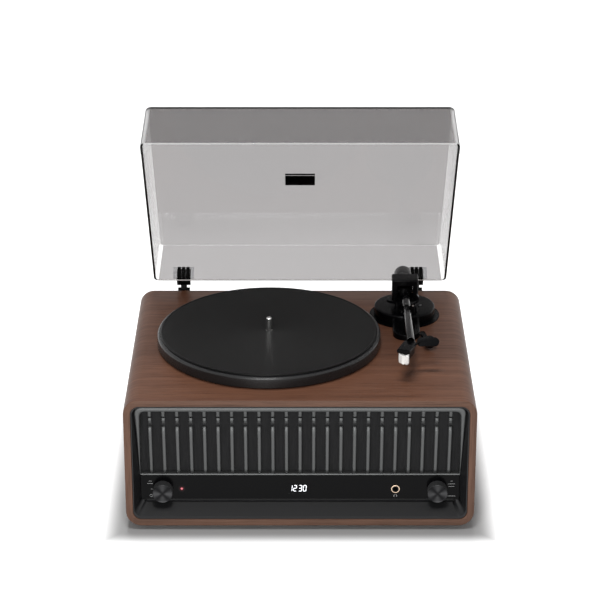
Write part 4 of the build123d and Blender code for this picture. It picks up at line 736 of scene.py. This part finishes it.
def turned(
    name, profile, centre, axis, finish, node_name, steps=96, closed=False, sharp_degrees=35.0
):
    """Carries a profile of (radius, height) in mm round an axis: each point lies at
    centre + height along the axis + radius times the direction of its angle. The UV map holds the share
    of the turn, and the length along the profile in mm."""
    axis = np.asarray(axis, dtype=float) / np.linalg.norm(axis)
    side = np.cross(axis, (0.0, 0.0, 1.0) if abs(axis[2]) < 0.9 else (0.0, 1.0, 0.0))
    side /= np.linalg.norm(side)
    lift = np.cross(axis, side)
    angle = np.linspace(0.0, 2 * np.pi, steps, endpoint=False)
    spoke = np.cos(angle)[None, :, None] * side + np.sin(angle)[None, :, None] * lift
    radius, height = np.asarray(profile, dtype=float).T * MM
    points = np.asarray(centre) + height[:, None, None] * axis + radius[:, None, None] * spoke
    quads = grid_quads(len(radius), steps, closed, True)
    lengths = np.concatenate([[0.0], np.cumsum(np.hypot(np.diff(radius), np.diff(height)))]) / MM
    # The quads that close the turn read a full share at their far side, not nought
    column = quads % steps
    far_side = (column == 0) & (np.arange(4) % 3 != 0) & (column[:, :1] == steps - 1)
    chart = np.stack([np.where(far_side, steps, column) / steps, lengths[quads // steps]], axis=-1)
    return new_piece(name, points, quads, finish, node_name, sharp_degrees, chart)


print("a closed grid of 3 by 4 has", len(grid_quads(3, 4, True, True)), "quads")

# %% [markdown]
# The mat is a flat sheet of pressed rubber with a narrow bead at its rim. The spindle through it is
# polished steel with a rounded nose. Both are turned shapes.

# %% Mat and spindle
MAT_RADIUS, MAT_THICKNESS, MAT_DISH = 143.0, 2.3, 0.3
SPINDLE_RADIUS, SHANK_RADIUS, SHANK_TOP, SHANK_LENGTH = 3.6, 4.5, -0.8, 13.0
UP = (0, 0, 1)
hole = SHANK_RADIUS + 0.1
bead = [
    (hole, -MAT_THICKNESS), (MAT_RADIUS, -MAT_THICKNESS), (MAT_RADIUS, 0.0), (MAT_RADIUS - 2.4, 0.0),
    (MAT_RADIUS - 3.0, -MAT_DISH), (hole, -MAT_DISH),
]
mat = turned(
    "mat_pressed", eased(bead, [0.1, 0.2, 0.7, 0.2, 0.2, 0.1], closed=True), (0, 0, 0), UP,
    MAT_RUBBER, "slip_mat", steps=256, closed=True,
)
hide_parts("slip_mat")

(_, _, spindle_foot), (_, _, nose_top) = box_mm("spindle")
shank_foot = -MAT_THICKNESS - SHANK_LENGTH
nose = [
    (0.0, nose_top), (SPINDLE_RADIUS, nose_top), (SPINDLE_RADIUS, SHANK_TOP), (SHANK_RADIUS, SHANK_TOP),
    (SHANK_RADIUS, shank_foot), (SPINDLE_RADIUS, shank_foot), (SPINDLE_RADIUS, spindle_foot),
    (0.0, spindle_foot),
]
spindle = turned(
    "spindle_polished", eased(nose, [0.0, 2.6, 0.05, 0.3, 0.05, 0.05, 0.4, 0.0], steps=9), (0, 0, 0), UP,
    BRIGHT_STEEL, "spindle", steps=48,
)
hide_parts("spindle")
print("spindle stands", round(nose_top, 1), "mm above the mat")

# %% [markdown]
# Each knob is a cup of spun aluminium, anodised dark. Its face is dished very slightly inside a turned
# edge, and its side is satin. Under it is a boss with the bore for the shaft.

# %% Knobs
KNOB_RADIUS, KNOB_LENGTH, KNOB_WALL, KNOB_ROOF = 12.75, 12.8, 2.2, 3.0
BOSS_RADIUS, BOSS_START, BORE_RADIUS = 5.5, 4.4, 3.05
TO_THE_FRONT = (0, -1, 0)
knob_profile = [
    (0.0, KNOB_LENGTH - 0.45),
    (KNOB_RADIUS - 1.6, KNOB_LENGTH - 0.2),
    (KNOB_RADIUS - 1.2, KNOB_LENGTH),
    (KNOB_RADIUS - 0.1, KNOB_LENGTH),
    (KNOB_RADIUS, KNOB_LENGTH - 1.2),
    (KNOB_RADIUS, 0.0),
    (KNOB_RADIUS - KNOB_WALL, 0.0),
    (KNOB_RADIUS - KNOB_WALL, KNOB_LENGTH - KNOB_ROOF),
    (BOSS_RADIUS, KNOB_LENGTH - KNOB_ROOF),
    (BOSS_RADIUS, BOSS_START),
    (BORE_RADIUS, BOSS_START),
    (BORE_RADIUS, KNOB_LENGTH - KNOB_ROOF),
    (0.0, KNOB_LENGTH - KNOB_ROOF),
]
knob_easing = [0.0, 0.2, 0.3, 0.5, 0.5, 0.3, 0.2, 0.2, 0.2, 0.1, 0.1, 0.1, 0.0]
for knob_name in ("volume_knob", "source_knob"):
    low, high = box_mm(knob_name) * MM
    seat = ((low[0] + high[0]) / 2, high[1], (low[2] + high[2]) / 2)
    knob = turned(
        knob_name + "_spun", eased(knob_profile, knob_easing), seat, TO_THE_FRONT, KNOB_METAL, knob_name,
        sharp_degrees=50.0,
    )
    knob.data.materials.append(KNOB_SIDE)
    on_side = np.abs(of_faces(knob.data, "normal")[:, 1]) < 0.3
    knob.data.polygons.foreach_set("material_index", on_side.astype(np.int32))
    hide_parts(knob_name)
    print(knob_name, "satin faces", int(on_side.sum()))

# %% [markdown]
# The grille is a dark satin metal frame that leans back in the recess. Its section is flat at the front
# with rounded edges, wide at the top and thinning down the sides. The frame is one grid: a section of
# fifteen points is carried round the outline.

# %% Grille frame
GRILLE_TOP = (3.2, 166.5)
GRILLE_FOOT = (18.7, 62.2)
GRILLE_DEPTH = 7.0
lean = atan2(GRILLE_FOOT[0] - GRILLE_TOP[0], GRILLE_TOP[1] - GRILLE_FOOT[1])
grille_length = hypot(GRILLE_FOOT[0] - GRILLE_TOP[0], GRILLE_TOP[1] - GRILLE_FOOT[1])


def on_grille(right, down, inward):
    """A point on the leaning grille: right of centre, down its face and in from its face, in mm."""
    behind = GRILLE_TOP[0] + down * sin(lean) + inward * cos(lean)
    above = GRILLE_TOP[1] - down * cos(lean) + inward * sin(lean)
    return at(right, behind, above)


def frame_outline(half_top, half_foot, top, foot, top_round, foot_round):
    """The frame's four corners as (right, down), eased, always with the same count of points."""
    corners = [(-half_top, top), (half_top, top), (half_foot, foot), (-half_foot, foot)]
    return eased(corners, [top_round, top_round, foot_round, foot_round], steps=13, closed=True)


outer = frame_outline(
    half_top=211.0, half_foot=205.0, top=0.05, foot=grille_length - 0.05, top_round=11.5, foot_round=2.0
)
inner = frame_outline(
    half_top=202.0, half_foot=204.4, top=7.4, foot=grille_length - 3.0, top_round=7.5, foot_round=2.0
)
# Across the section: how far from the outer edge to the inner one, and how deep behind the face
share = np.array([0.0, 0.012, 0.04, 0.1, 0.2, 0.35, 0.5, 0.65, 0.8, 0.9, 0.96, 0.988, 1.0])
across = np.concatenate([[0.0], share, [1.0]])
frame_back = GRILLE_DEPTH - 0.2
depth = np.concatenate([[frame_back], 2.6 * np.abs(2 * share - 1) ** 4, [frame_back]])
right = outer[:, None, 0] * (1 - across) + inner[:, None, 0] * across
# The recess narrows towards its back, and so does the frame's outside
right = np.sign(right) * (np.abs(right) - 0.25 * depth * (1 - across))
down = outer[:, None, 1] * (1 - across) + inner[:, None, 1] * across
ring = on_grille(right, down, depth)
frame_piece = new_piece(
    "grille_frame", ring, grid_quads(*ring.shape[:2], True, True), GRILLE_METAL, "speaker_grille",
    sharp_degrees=60.0,
)
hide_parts("speaker_grille")
print("grille length mm", round(grille_length, 2), "lean", round(degrees(lean), 2))

# %% [markdown]
# 23 upright ribs hang in the frame. Each rib leaves the top bar as a short lug, dips behind a bead 8 mm
# long, dips again, and then runs straight to the foot: that wave shows as light and dark bands across
# the rib tops, and the dips are painted black as shade. The depth of the face along the rib is read from
# a short table of turning points.

# %% Grille ribs
RIB_PITCH, RIB_WIDTH, RIB_COUNT = 17.3, 4.5, 23
RIB_START, WAVE_END, WAVE_STEP, RIB_BACK = 6.0, 36.0, 0.4, 6.5
SHADED_NOTCH_SPANS = ((15.8, 18.5), (26.5, 31.3))
wave_down = [6.0, 11.0, 15.6, 16.2, 18.2, 18.8, 22.0, 26.2, 26.8, 31.0, 31.8, 36.0, 60.0, 104.0]
wave_inward = [1.6, 2.2, 3.0, 6.3, 6.3, 4.2, 3.4, 4.6, 6.3, 6.3, 2.4, 0.9, 0.8, 0.8]
rib_down = np.concatenate(
    [np.arange(RIB_START, WAVE_END, WAVE_STEP), np.linspace(WAVE_END, grille_length - 2.0, 10)]
)[:, None]
section_right = np.array([-1.0, -1.0, -0.86, -0.5, 0.0, 0.5, 0.86, 1.0, 1.0]) * RIB_WIDTH / 2
rounding = np.array([0.0, 1.1, 0.5, 0.12, 0.0, 0.12, 0.5, 1.1, 0.0])
at_back = np.arange(len(rounding)) % (len(rounding) - 1) == 0
rib_in = np.where(at_back, RIB_BACK, np.interp(rib_down, wave_down, wave_inward) + rounding)
number = np.arange(RIB_COUNT)[:, None, None]
rib_right = (number - (RIB_COUNT - 1) / 2) * RIB_PITCH + section_right
rib_quads = grid_quads(*rib_in.shape, False, True) + number * rib_in.size
ribs = new_piece(
    "grille_ribs", on_grille(rib_right, rib_down, rib_in), rib_quads.reshape(-1, 4), GRILLE_METAL,
    "speaker_grille", sharp_degrees=50.0,
)
close_ends(ribs.data)
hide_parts("speaker_grille")
# The dips of the notches get the fascia's black as painted shade
ribs.data.materials.append(FASCIA_BLACK)
middles = of_faces(ribs.data, "center") / MM
along = (middles[:, 1] - FRONT_Y - GRILLE_TOP[0]) * sin(lean)
along += (GRILLE_TOP[1] + CASE_BOTTOM - middles[:, 2]) * cos(lean)
notch_painted_shade = np.any([(along > start) & (along < end) for start, end in SHADED_NOTCH_SPANS], axis=0)
ribs.data.polygons.foreach_set("material_index", notch_painted_shade.astype(np.int32))
print("ribs", RIB_COUNT, "faces", len(notch_painted_shade), "in the notches", int(notch_painted_shade.sum()))

# %% [markdown]
# Behind the ribs a black speaker cloth is stretched over the baffle. It is a plain weave of about one
# thread a millimetre, drawn a little coarser, and the threads are two crossed waves.


# %% Speaker cloth
def woven_cloth(thread_mm):
    """Two sine waves, a thread apart in X and in Z, make the over and under of a plain weave."""
    material, tree, shader = start_material(
        "cloth_speaker_woven", "#19191a", 0.85, Sheen_Weight=0.1, Sheen_Roughness=0.5, Specular_IOR_Level=0.2
    )
    where = in_sizes(tree, thread_mm)
    warp, weft = [
        add_node(
            tree, "ShaderNodeTexWave", {"Vector": where, "Scale": 0.5, "Distortion": 0.6}, bands_direction=way
        ).outputs["Fac"]
        for way in ("X", "Z")
    ]
    over = add_node(tree, "ShaderNodeMath", [warp, weft], operation="MULTIPLY")
    slub = grains(tree, (2.6, 40, 40), 2.0, 0.6)
    threads = add_node(tree, "ShaderNodeMath", [over, slub], operation="ADD")
    add_node(
        tree, "ShaderNodeValToRGB", [threads], stops=[(0.35, "#0e0e0f"), (1.0, "#232324")],
        to=shader.inputs["Base Color"],
    )
    roughen(tree, shader, over, 0.25, 0.7)
    return material


# Soft black with a faint bloom, and a mesh of dots where the threads cross
CLOTH = woven_cloth(1.3)
CLOTH_HALF, CLOTH_TOP, CLOTH_THICKNESS, CLOTH_GAP = 204.0, 5.0, 0.4, 0.25
SAG, SAG_ACROSS, SAG_DOWN = 0.12, 0.21, 0.3
sheet_right, sheet_down = np.meshgrid(
    np.linspace(-CLOTH_HALF, CLOTH_HALF, 81), np.linspace(CLOTH_TOP, grille_length, 25)
)
sag = SAG * np.sin(sheet_right * SAG_ACROSS) * np.sin(sheet_down * SAG_DOWN)
cloth = new_piece(
    "speaker_cloth_stretched", on_grille(sheet_right, sheet_down, GRILLE_DEPTH + CLOTH_GAP + sag),
    grid_quads(*sheet_right.shape, False, False), CLOTH, "grille_cloth",
)
thick = cloth.modifiers.new("cloth_thickness", "SOLIDIFY")
thick.thickness = CLOTH_THICKNESS * MM
thick.offset = 0.0
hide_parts("grille_cloth")
print("cloth", 2 * CLOTH_HALF, "by", round(grille_length - CLOTH_TOP, 1), "mm")

# %% [markdown]
# Bars, signs and plates are all thin and flat. So one helper draws any outline at two depths, closes
# both faces, and places it by the face that it lies on.


# %% Flat plates
def plates(name, outlines, low, high, place, finish, node_name):
    """Several plates as one piece. Each outline of (across, along) is drawn at a low and a high depth and
    closed by fans, and `place` turns (across, along, depth) into points."""
    points, quads, start = [], [], 0
    for outline in outlines:
        middle = np.broadcast_to(outline.mean(axis=0), outline.shape)
        rings = [(middle, low), (outline, low), (outline, high), (middle, high)]
        points += [place(edge[:, 0], edge[:, 1], depth) for edge, depth in rings]
        quads.append(grid_quads(len(rings), len(outline), False, True) + start)
        start += len(rings) * len(outline)
    return new_piece(name, np.concatenate(points), np.concatenate(quads), finish, node_name)


def box_outline(x, z, width, height):
    """A rectangle centred at (x, z)."""
    return np.array([(-1, -1), (1, -1), (1, 1), (-1, 1)]) * (width / 2, height / 2) + (x, z)


def on_strip(across, above, behind):
    """A point of the control strip, whose outlines are drawn as seen from the front."""
    return at(across, behind, above)


print("a plate of four corners has", len(grid_quads(4, 4, False, True)), "faces")

# %% [markdown]
# The clock is a seven-segment module behind the strip's dark window. The window is so deeply smoked
# that it looks as black as the strip, and only the lit bars show through. So they are drawn as thin
# six-sided plates on the window's face: two long sides and a point at each end.

# %% Clock digits
SEGMENTS_OF = {"0": "abcdef", "1": "bc", "2": "abged", "3": "abgcd"}
PLACE_OF_SEGMENT = {
    "a": (0.5, 1.0, False), "b": (1.0, 0.75, True), "c": (1.0, 0.25, True), "d": (0.5, 0.0, False),
    "e": (0.0, 0.25, True), "f": (0.0, 0.75, True), "g": (0.5, 0.5, False),
}
DIGIT_WIDTH, DIGIT_HEIGHT, DIGIT_PITCH, BAR_WIDTH, BAR_GAP, SLANT = 3.5, 8.2, 5.6, 1.0, 0.1, 0.08
CLOCK_LEFT_BY, CLOCK_UP_BY, PAIRS_APART = 1.3, 0.6, 0.6


def bar_outline(x, z, length, width, upright):
    """A bar with pointed ends, centred at (x, z)."""
    l, w = length / 2, width / 2
    shape = np.array([(-l, 0), (-l + w, w), (l - w, w), (l, 0), (l - w, -w), (-l + w, -w)])
    return (shape[:, ::-1] if upright else shape) + (x, z)


clock_low, clock_high = box_mm("clock_display")
clock_x = (clock_low[0] + clock_high[0]) / 2 - CASE_X - CLOCK_LEFT_BY
clock_z = (clock_low[2] + clock_high[2]) / 2 - CASE_BOTTOM + CLOCK_UP_BY
bars = []
for index, digit in enumerate("1230"):
    apart = PAIRS_APART if index > 1 else -PAIRS_APART
    left = clock_x + (index - 1.5) * DIGIT_PITCH - DIGIT_WIDTH / 2 + apart
    for segment in SEGMENTS_OF[digit]:
        u, v, upright = PLACE_OF_SEGMENT[segment]
        length = (DIGIT_HEIGHT / 2 if upright else DIGIT_WIDTH) - BAR_GAP
        z = clock_z + (v - 0.5) * DIGIT_HEIGHT
        bar = bar_outline(left + u * DIGIT_WIDTH, z, length, BAR_WIDTH, upright)
        bars.append(bar + (bar[:, 1:] - clock_z) * (SLANT, 0.0))
clock_face = box_mm("display_window")[0][1] - FRONT_Y
plates(
    "clock_segments", bars, clock_face - 0.06, clock_face + 0.04, on_strip, DIGIT_WHITE, "clock_display",
)
print("clock bars", len(bars))

# %% [markdown]
# The strip's printing is kept to plain signs: short bars beside the knobs, a ring for standby
# and a headband under the headphone hole. They are printed, so they stand a twentieth of a millimetre
# proud. A flat ring round the lamp carries the red haze as painted glow.

# %% Printed signs and the lamp's haze
STRIP_FACE, PRINT_LIFT = 20.0, 0.05
STANDBY_X, HEADPHONE_X, SIGN_Z, STROKE = -191.6, 122.5, 33.0, 0.45
LENS_RADIUS, HALO_REACH = 1.3, 4.6


def ring_outlines(x, z, radius, width, start, end, steps=14):
    """Short four-sided chords that follow a circle from one angle to another."""
    angles = np.radians(np.linspace(start, end, steps + 1))[:, None]
    spokes = np.concatenate([np.cos(angles), np.sin(angles)], axis=1)
    inside, outside = spokes * (radius - width) + (x, z), spokes * radius + (x, z)
    return list(np.stack([inside[:-1], outside[:-1], outside[1:], inside[1:]], axis=1))


left_bars = [(-192.6, 50.4, 7.0, 0.5), (-192.3, 54.0, 3.6, 0.6), (-190.4, 42.4, 2.5, 0.5)]
right_bars = [(194.4, z, width, 0.5) for z, width in ((53.9, 3.0), (49.8, 9.0), (46.3, 7.5), (32.4, 10.5))]
cushions = [(HEADPHONE_X + side * 1.7, 32.3, 0.9, 1.6) for side in (-1, 1)]
signs = [box_outline(*bar) for bar in left_bars]
signs += ring_outlines(STANDBY_X, SIGN_Z, 1.9, STROKE, 110, 430)
signs += [box_outline(*bar) for bar in [(STANDBY_X, 34.7, STROKE, 1.9), *right_bars]]
signs += ring_outlines(HEADPHONE_X, SIGN_Z, 2.0, STROKE, 0, 180, 10)
signs += [box_outline(*cushion) for cushion in cushions]
plates(
    "strip_signs", signs, STRIP_FACE - PRINT_LIFT, STRIP_FACE + 0.01, on_strip, MARK_GREY, "control_panel"
)
lens_centre = box_mm("indicator_lamp").mean(axis=0) * MM
lens_centre[1] = (FRONT_Y + STRIP_FACE) * MM
# Painted glow: a flat ring round the lens gives off red light
haze = [(LENS_RADIUS, -0.02), (LENS_RADIUS, 0.03), (HALO_REACH, 0.03), (HALO_REACH, -0.02)]
turned(
    "lamp_halo", haze, lens_centre, TO_THE_FRONT, red_halo(lens_centre, HALO_REACH), "control_panel",
    steps=48, closed=True,
)
print("printed outlines", len(signs))

# %% [markdown]
# The arm's tube and its counterweight are turned, and lacquered black. The tube has a shallow neck a
# third of the way along. The weight is stepped: a collar, a groove, and the broader grip behind it.

# %% Arm tube and counterweight
ARM_PIVOT = np.array([183.0, 90.0, DECK_Z + 35.5])
ARM_RISE = radians(1.73)
TAIL = np.array([0.0, cos(ARM_RISE), -sin(ARM_RISE)])
ARM_REACH, TUBE_START, TUBE_RADIUS, TUBE_BORE, NECK_RADIUS = 178.0, 6.0, 5.0, 4.2, 4.75
WEIGHT_RADIUS, WEIGHT_START, WEIGHT_END, WEIGHT_BORE = 12.4, 30.0, 64.0, 4.06
tube_profile = [
    (TUBE_BORE, -ARM_REACH), (TUBE_RADIUS, -ARM_REACH), (TUBE_RADIUS, -64.0), (NECK_RADIUS, -64.0),
    (NECK_RADIUS, -60.0), (TUBE_RADIUS, -60.0), (TUBE_RADIUS, -TUBE_START), (TUBE_BORE, -TUBE_START),
]
tube = turned(
    "arm_tube_lacquered", eased(tube_profile, 0.15, closed=True, steps=3), ARM_PIVOT * MM, TAIL,
    ARM_LACQUER, "arm_tube", steps=48, closed=True,
)
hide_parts("arm_tube")

weight_profile = [
    (WEIGHT_BORE, WEIGHT_START), (WEIGHT_RADIUS - 1.6, WEIGHT_START),
    (WEIGHT_RADIUS - 0.6, WEIGHT_START + 1.0), (WEIGHT_RADIUS - 0.6, WEIGHT_START + 8.0),
    (WEIGHT_RADIUS - 1.5, WEIGHT_START + 8.6), (WEIGHT_RADIUS - 1.5, WEIGHT_START + 9.6),
    (WEIGHT_RADIUS, WEIGHT_START + 10.4), (WEIGHT_RADIUS, WEIGHT_END - 1.2),
    (WEIGHT_RADIUS - 1.4, WEIGHT_END), (WEIGHT_BORE, WEIGHT_END),
]
weight = turned(
    "counterweight_turned", eased(weight_profile, 0.4, closed=True, steps=4), ARM_PIVOT * MM, TAIL,
    ARM_LACQUER, "counterweight", steps=120, closed=True,
)
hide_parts("counterweight")
print("arm tube", ARM_REACH - TUBE_START, "mm, weight", WEIGHT_END - WEIGHT_START, "mm")

# %% [markdown]
# A thin shroud closes the yoke's window behind the pivot block, and leaves a round hole for the tail.
# Its grid runs from the window's four sides to that hole: the reach of each spoke is the nearer of the
# side wall and the floor or roof. A small grey button stands on the arm's foot and locks the lift.

# %% Yoke shroud and button
WINDOW_HALF, WINDOW_HEIGHT, YOKE_FLOOR = 10.6, 18.8, 4.1
SHROUD_INSET, SHROUD_THICKNESS, TAIL_HOLE, SPOKES = 2.0, 1.2, 5.2, 72
BUTTON_PLACE, BUTTON_RADIUS, BUTTON_HEIGHT = (203.9, 86.5, DECK_Z + 15.0), 2.3, 1.3
yoke_low, yoke_high = box_mm("arm_yoke")
window_foot = yoke_low[2] + YOKE_FLOOR
shroud_y = yoke_high[1] - SHROUD_INSET
tail_z = ARM_PIVOT[2] - (shroud_y - ARM_PIVOT[1]) * sin(ARM_RISE)
turn = np.linspace(0.0, 2 * np.pi, SPOKES, endpoint=False)
aside, upward = np.cos(turn), np.sin(turn)
wall = np.where(upward > 0, window_foot + WINDOW_HEIGHT - tail_z, tail_z - window_foot)
reach = np.minimum(WINDOW_HALF / np.maximum(np.abs(aside), 1e-6), wall / np.maximum(np.abs(upward), 1e-6))
rings = [(reach, 0.0), (TAIL_HOLE, 0.0), (TAIL_HOLE, SHROUD_THICKNESS), (reach, SHROUD_THICKNESS)]
shroud_points = [
    np.broadcast_arrays(ARM_PIVOT[0] + aside * radius, shroud_y + back, tail_z + upward * radius)
    for radius, back in rings
]
new_piece(
    "yoke_shroud", np.moveaxis(np.array(shroud_points), 1, -1) * MM, grid_quads(4, SPOKES, True, True),
    SATIN_BLACK, "arm_yoke",
)
button = [(0.0, BUTTON_HEIGHT), (BUTTON_RADIUS, BUTTON_HEIGHT), (BUTTON_RADIUS, -0.3), (0.0, -0.3)]
turned(
    "lift_lock_button", eased(button, [0.0, 0.5, 0.1, 0.0]), np.array(BUTTON_PLACE) * MM, UP,
    GRILLE_METAL, "tonearm_base", steps=32,
)
print("shroud reaches", round(reach.min(), 1), "to", round(reach.max(), 1), "mm from the tail")

# %% [markdown]
# The stylus guard is a small moulded shoe: two facets meet at a groove down its front, and its foot
# narrows to the right. It is a stack of outlines, so its rows are levels and its columns go round it.

# %% Stylus guard
HEAD_TURN = radians(19.2)
HEAD_PLACE = ARM_PIVOT - ARM_REACH * TAIL
GUARD_BACK = -28.1


def on_head(right, back, up):
    """A point of the headshell, in metres: right and back turn with it by 19.2 degrees from the arm."""
    turned_right = right * cos(HEAD_TURN) + back * sin(HEAD_TURN)
    turned_back = back * cos(HEAD_TURN) - right * sin(HEAD_TURN)
    return (HEAD_PLACE + np.stack([turned_right, turned_back, up], axis=-1)) * MM


guard_right = np.array([-6.9, -6.4, -2.8, -2.0, 2.0, 2.8, 6.4, 6.9])
guard_face = np.array([-29.2, -30.2, -32.0, -29.9, -29.9, -32.0, -30.2, -29.2])
guard_up = np.array([-5.2, -9.0, -14.0, -18.2, -19.9])[:, None]
guard_share = np.array([1.0, 1.0, 1.0, 0.97, 0.55])[:, None]
guard_shift = np.array([-0.2, -0.2, -0.2, 0.0, 1.8])[:, None]
top_notch = np.where((np.abs(guard_right) < 3.0) & (guard_up > -6.0), 2.4, 0.0)
front = np.array(np.broadcast_arrays(
    guard_right * guard_share + guard_shift, guard_face, guard_up - top_notch
))
back = front[:, :, ::-1].copy()
back[1] = GUARD_BACK
loop = np.concatenate([front, back], axis=2)
guard = new_piece(
    "stylus_guard", on_head(*loop), grid_quads(*loop.shape[1:], False, True), WHITE_ABS, "stylus",
    sharp_degrees=20.0,
)
close_ends(guard.data)
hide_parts("stylus")
print("guard faces", len(guard.data.polygons))

# %% [markdown]
# The cover's plate is a bar and a tile of black film on the outside of the acrylic. Inside its back wall
# each hinge has a clear pad, and three black clamp bars hold it.

# %% Cover plate and hinge pads
HINGE_Y, HINGE_Z, COVER_TOP, FILM_THICKNESS = 181.0, -19.8, 61.9, 0.55
HINGE_SIDE, HINGE_UP, WALL_INSIDE, PAD_THICKNESS, BAR_THICKNESS = 162.3, 14.0, -21.3, 1.2, 1.6


def on_cover(right, back, up):
    """A point of the open cover, in metres: right of the middle, and back and up from the hinges as if
    it were shut. Both axes turn with the cover by 54.1 degrees about the hinges."""
    right, back, up = np.broadcast_arrays(right, back, up)
    y = HINGE_Y + back * cos(OPEN_TURN) + up * sin(OPEN_TURN)
    z = HINGE_Z - back * sin(OPEN_TURN) + up * cos(OPEN_TURN)
    return np.stack([CASE_X + right, y, z], axis=-1) * MM


def on_back_wall(right, up, back):
    """The same for outlines that stand on the cover's back wall."""
    return on_cover(right, back, up)


def tiles(boxes):
    """Rectangles with corners eased by half a millimetre."""
    return [eased(box_outline(*box), 0.5, closed=True) for box in boxes]


plate = plates(
    "cover_plate", tiles([(0.0, -197.7, 40.0, 3.0), (0.0, -183.25, 40.0, 22.1)]), COVER_TOP,
    COVER_TOP + FILM_THICKNESS, on_cover, STRIP_BLACK, "lid_badge",
)
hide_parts("lid_badge")
pad_face = WALL_INSIDE - PAD_THICKNESS
plates(
    "hinge_pads", tiles([(side * HINGE_SIDE, HINGE_UP, 29.0, 17.5) for side in (-1, 1)]), pad_face,
    WALL_INSIDE, on_back_wall, PAD_ACRYLIC, "dust_cover",
)
clamps = [(side * HINGE_SIDE + step, HINGE_UP, 4.6, 17.0) for side in (-1, 1) for step in (-6.0, 0.0, 6.0)]
plates(
    "hinge_clamp_bars", tiles(clamps), pad_face - BAR_THICKNESS, pad_face, on_back_wall, SATIN_BLACK,
    "dust_cover",
)
print("clamp bars", len(clamps))

# %% [markdown]
# The floor is pale and shows white to the camera, and keeps the contact shadow. White comes from a
# little light of the floor's own that only the camera sees, and it fades out close to the case, where
# the shadow lies. That fade paints shade round the case's footprint, over the real contact shadow.

# %% Floor
FILL_START, FILL_END, FILL_LEVEL, FLOOR_REACH = 6.0, 46.0, 0.95, 6.0


def seen_directly(tree):
    """1 where the camera sees the background, also through glass or in a reflection, else 0."""
    path = add_node(tree, "ShaderNodeLightPath").outputs
    sharp = add_node(
        tree, "ShaderNodeMath", [path["Is Glossy Ray"], path["Is Transmission Ray"]], operation="MAXIMUM"
    )
    return add_node(tree, "ShaderNodeMath", [path["Is Camera Ray"], sharp], operation="MAXIMUM")


def studio_floor():
    """A pale matt floor. What the camera sees of it glows more with the distance from the case, which is
    the larger of the distances beside it and before it."""
    material, tree, shader = start_material("studio_floor", "#b8b8b8", 0.9)
    seen = seen_directly(tree)
    where = add_node(tree, "ShaderNodeTexCoord").outputs["Object"]
    offset = add_node(tree, "ShaderNodeVectorMath", [where, (CASE_X * MM, 0, 0)], operation="SUBTRACT")
    sides = add_node(tree, "ShaderNodeVectorMath", [offset], operation="ABSOLUTE")
    parts = add_node(tree, "ShaderNodeSeparateXYZ", [sides]).outputs
    beside = add_node(tree, "ShaderNodeMath", [parts["X"], CASE_WIDTH / 2 * MM], operation="SUBTRACT")
    before = add_node(tree, "ShaderNodeMath", [parts["Y"], -FRONT_Y * MM], operation="SUBTRACT")
    away = add_node(tree, "ShaderNodeMath", [beside, before], operation="MAXIMUM")
    # Painted shade: the glow fades out close to the case, so the floor there is darker
    glow_fading_to_painted_shade = add_node(
        tree, "ShaderNodeMapRange",
        {"Value": away, "From Min": FILL_START * MM, "From Max": FILL_END * MM, "To Max": FILL_LEVEL},
        interpolation_type="SMOOTHSTEP",
    )
    level = add_node(tree, "ShaderNodeMath", [seen, glow_fading_to_painted_shade], operation="MULTIPLY")
    glow = add_node(tree, "ShaderNodeEmission", {"Color": (1, 1, 1, 1), "Strength": level})
    add_node(tree, "ShaderNodeAddShader", [shader, glow], to=tree.nodes["Material Output"].inputs["Surface"])
    return material


floor_mesh = bpy.data.meshes.new("studio_floor")
corners = np.array([(-1, -1), (1, -1), (1, 1), (-1, 1)]) * FLOOR_REACH
floor_mesh.from_pydata([(x, y, FLOOR_Z * MM) for x, y in corners.tolist()], [], [(0, 1, 2, 3)])
floor_mesh.materials.append(studio_floor())
floor = put_in_scene("studio_floor", floor_mesh)
print("floor", 2 * FLOOR_REACH, "m across")

# %% [markdown]
# Three soft lamps light the case at a plain level. A large one hangs overhead and a little behind, a
# small one high in front puts firm shadows under the knobs, and a broad low one lights the front. The
# overhead one is kept out of reflections, because its image would whiten the cover's front wall.


# %% Lamps
def soft_lamp(name, place_mm, target_mm, size, power):
    """A rectangular area lamp of a size in metres, aimed at a point."""
    data = bpy.data.lights.new(name, "AREA")
    data.shape = "RECTANGLE"
    data.size, data.size_y = size
    data.energy = power
    lamp = put_in_scene(name, data)
    lamp.location = Vector(place_mm) * MM
    lamp.rotation_euler = (Vector(target_mm) - Vector(place_mm)).to_track_quat("-Z", "Y").to_euler()
    return lamp


LAMPS = [
    soft_lamp("lamp_overhead", (CASE_X - 60, 280, 2300), (CASE_X, 0, 0), (0.8, 0.4), 44.0),
    soft_lamp("lamp_front_high", (CASE_X - 100, -1150, 2100), (CASE_X, -150, -100), (0.4, 0.4), 19.0),
    soft_lamp("lamp_front_low", (CASE_X - 300, -2600, 350), (CASE_X, -100, -80), (1.0, 1.0), 34.0),
]
for lamp in LAMPS:
    lamp.visible_glossy = lamp is not LAMPS[0]
    lamp.visible_transmission = False
print("lamps", [lamp.name for lamp in LAMPS])

# %% [markdown]
# The world gives a dim, even light from all sides, and shows white where the camera sees it.

# %% World
WORLD_LIGHT, WORLD_SEEN = 0.2, 1.0
world = bpy.data.worlds.new("studio_world")
bpy.context.scene.world = world
world.use_nodes = True
background = world.node_tree.nodes["Background"]
background.inputs["Color"].default_value = (1, 1, 1, 1)
add_node(
    world.node_tree, "ShaderNodeMapRange",
    {"Value": seen_directly(world.node_tree), "To Min": WORLD_LIGHT, "To Max": WORLD_SEEN},
    to=background.inputs["Strength"],
)
print("world light", WORLD_LIGHT)
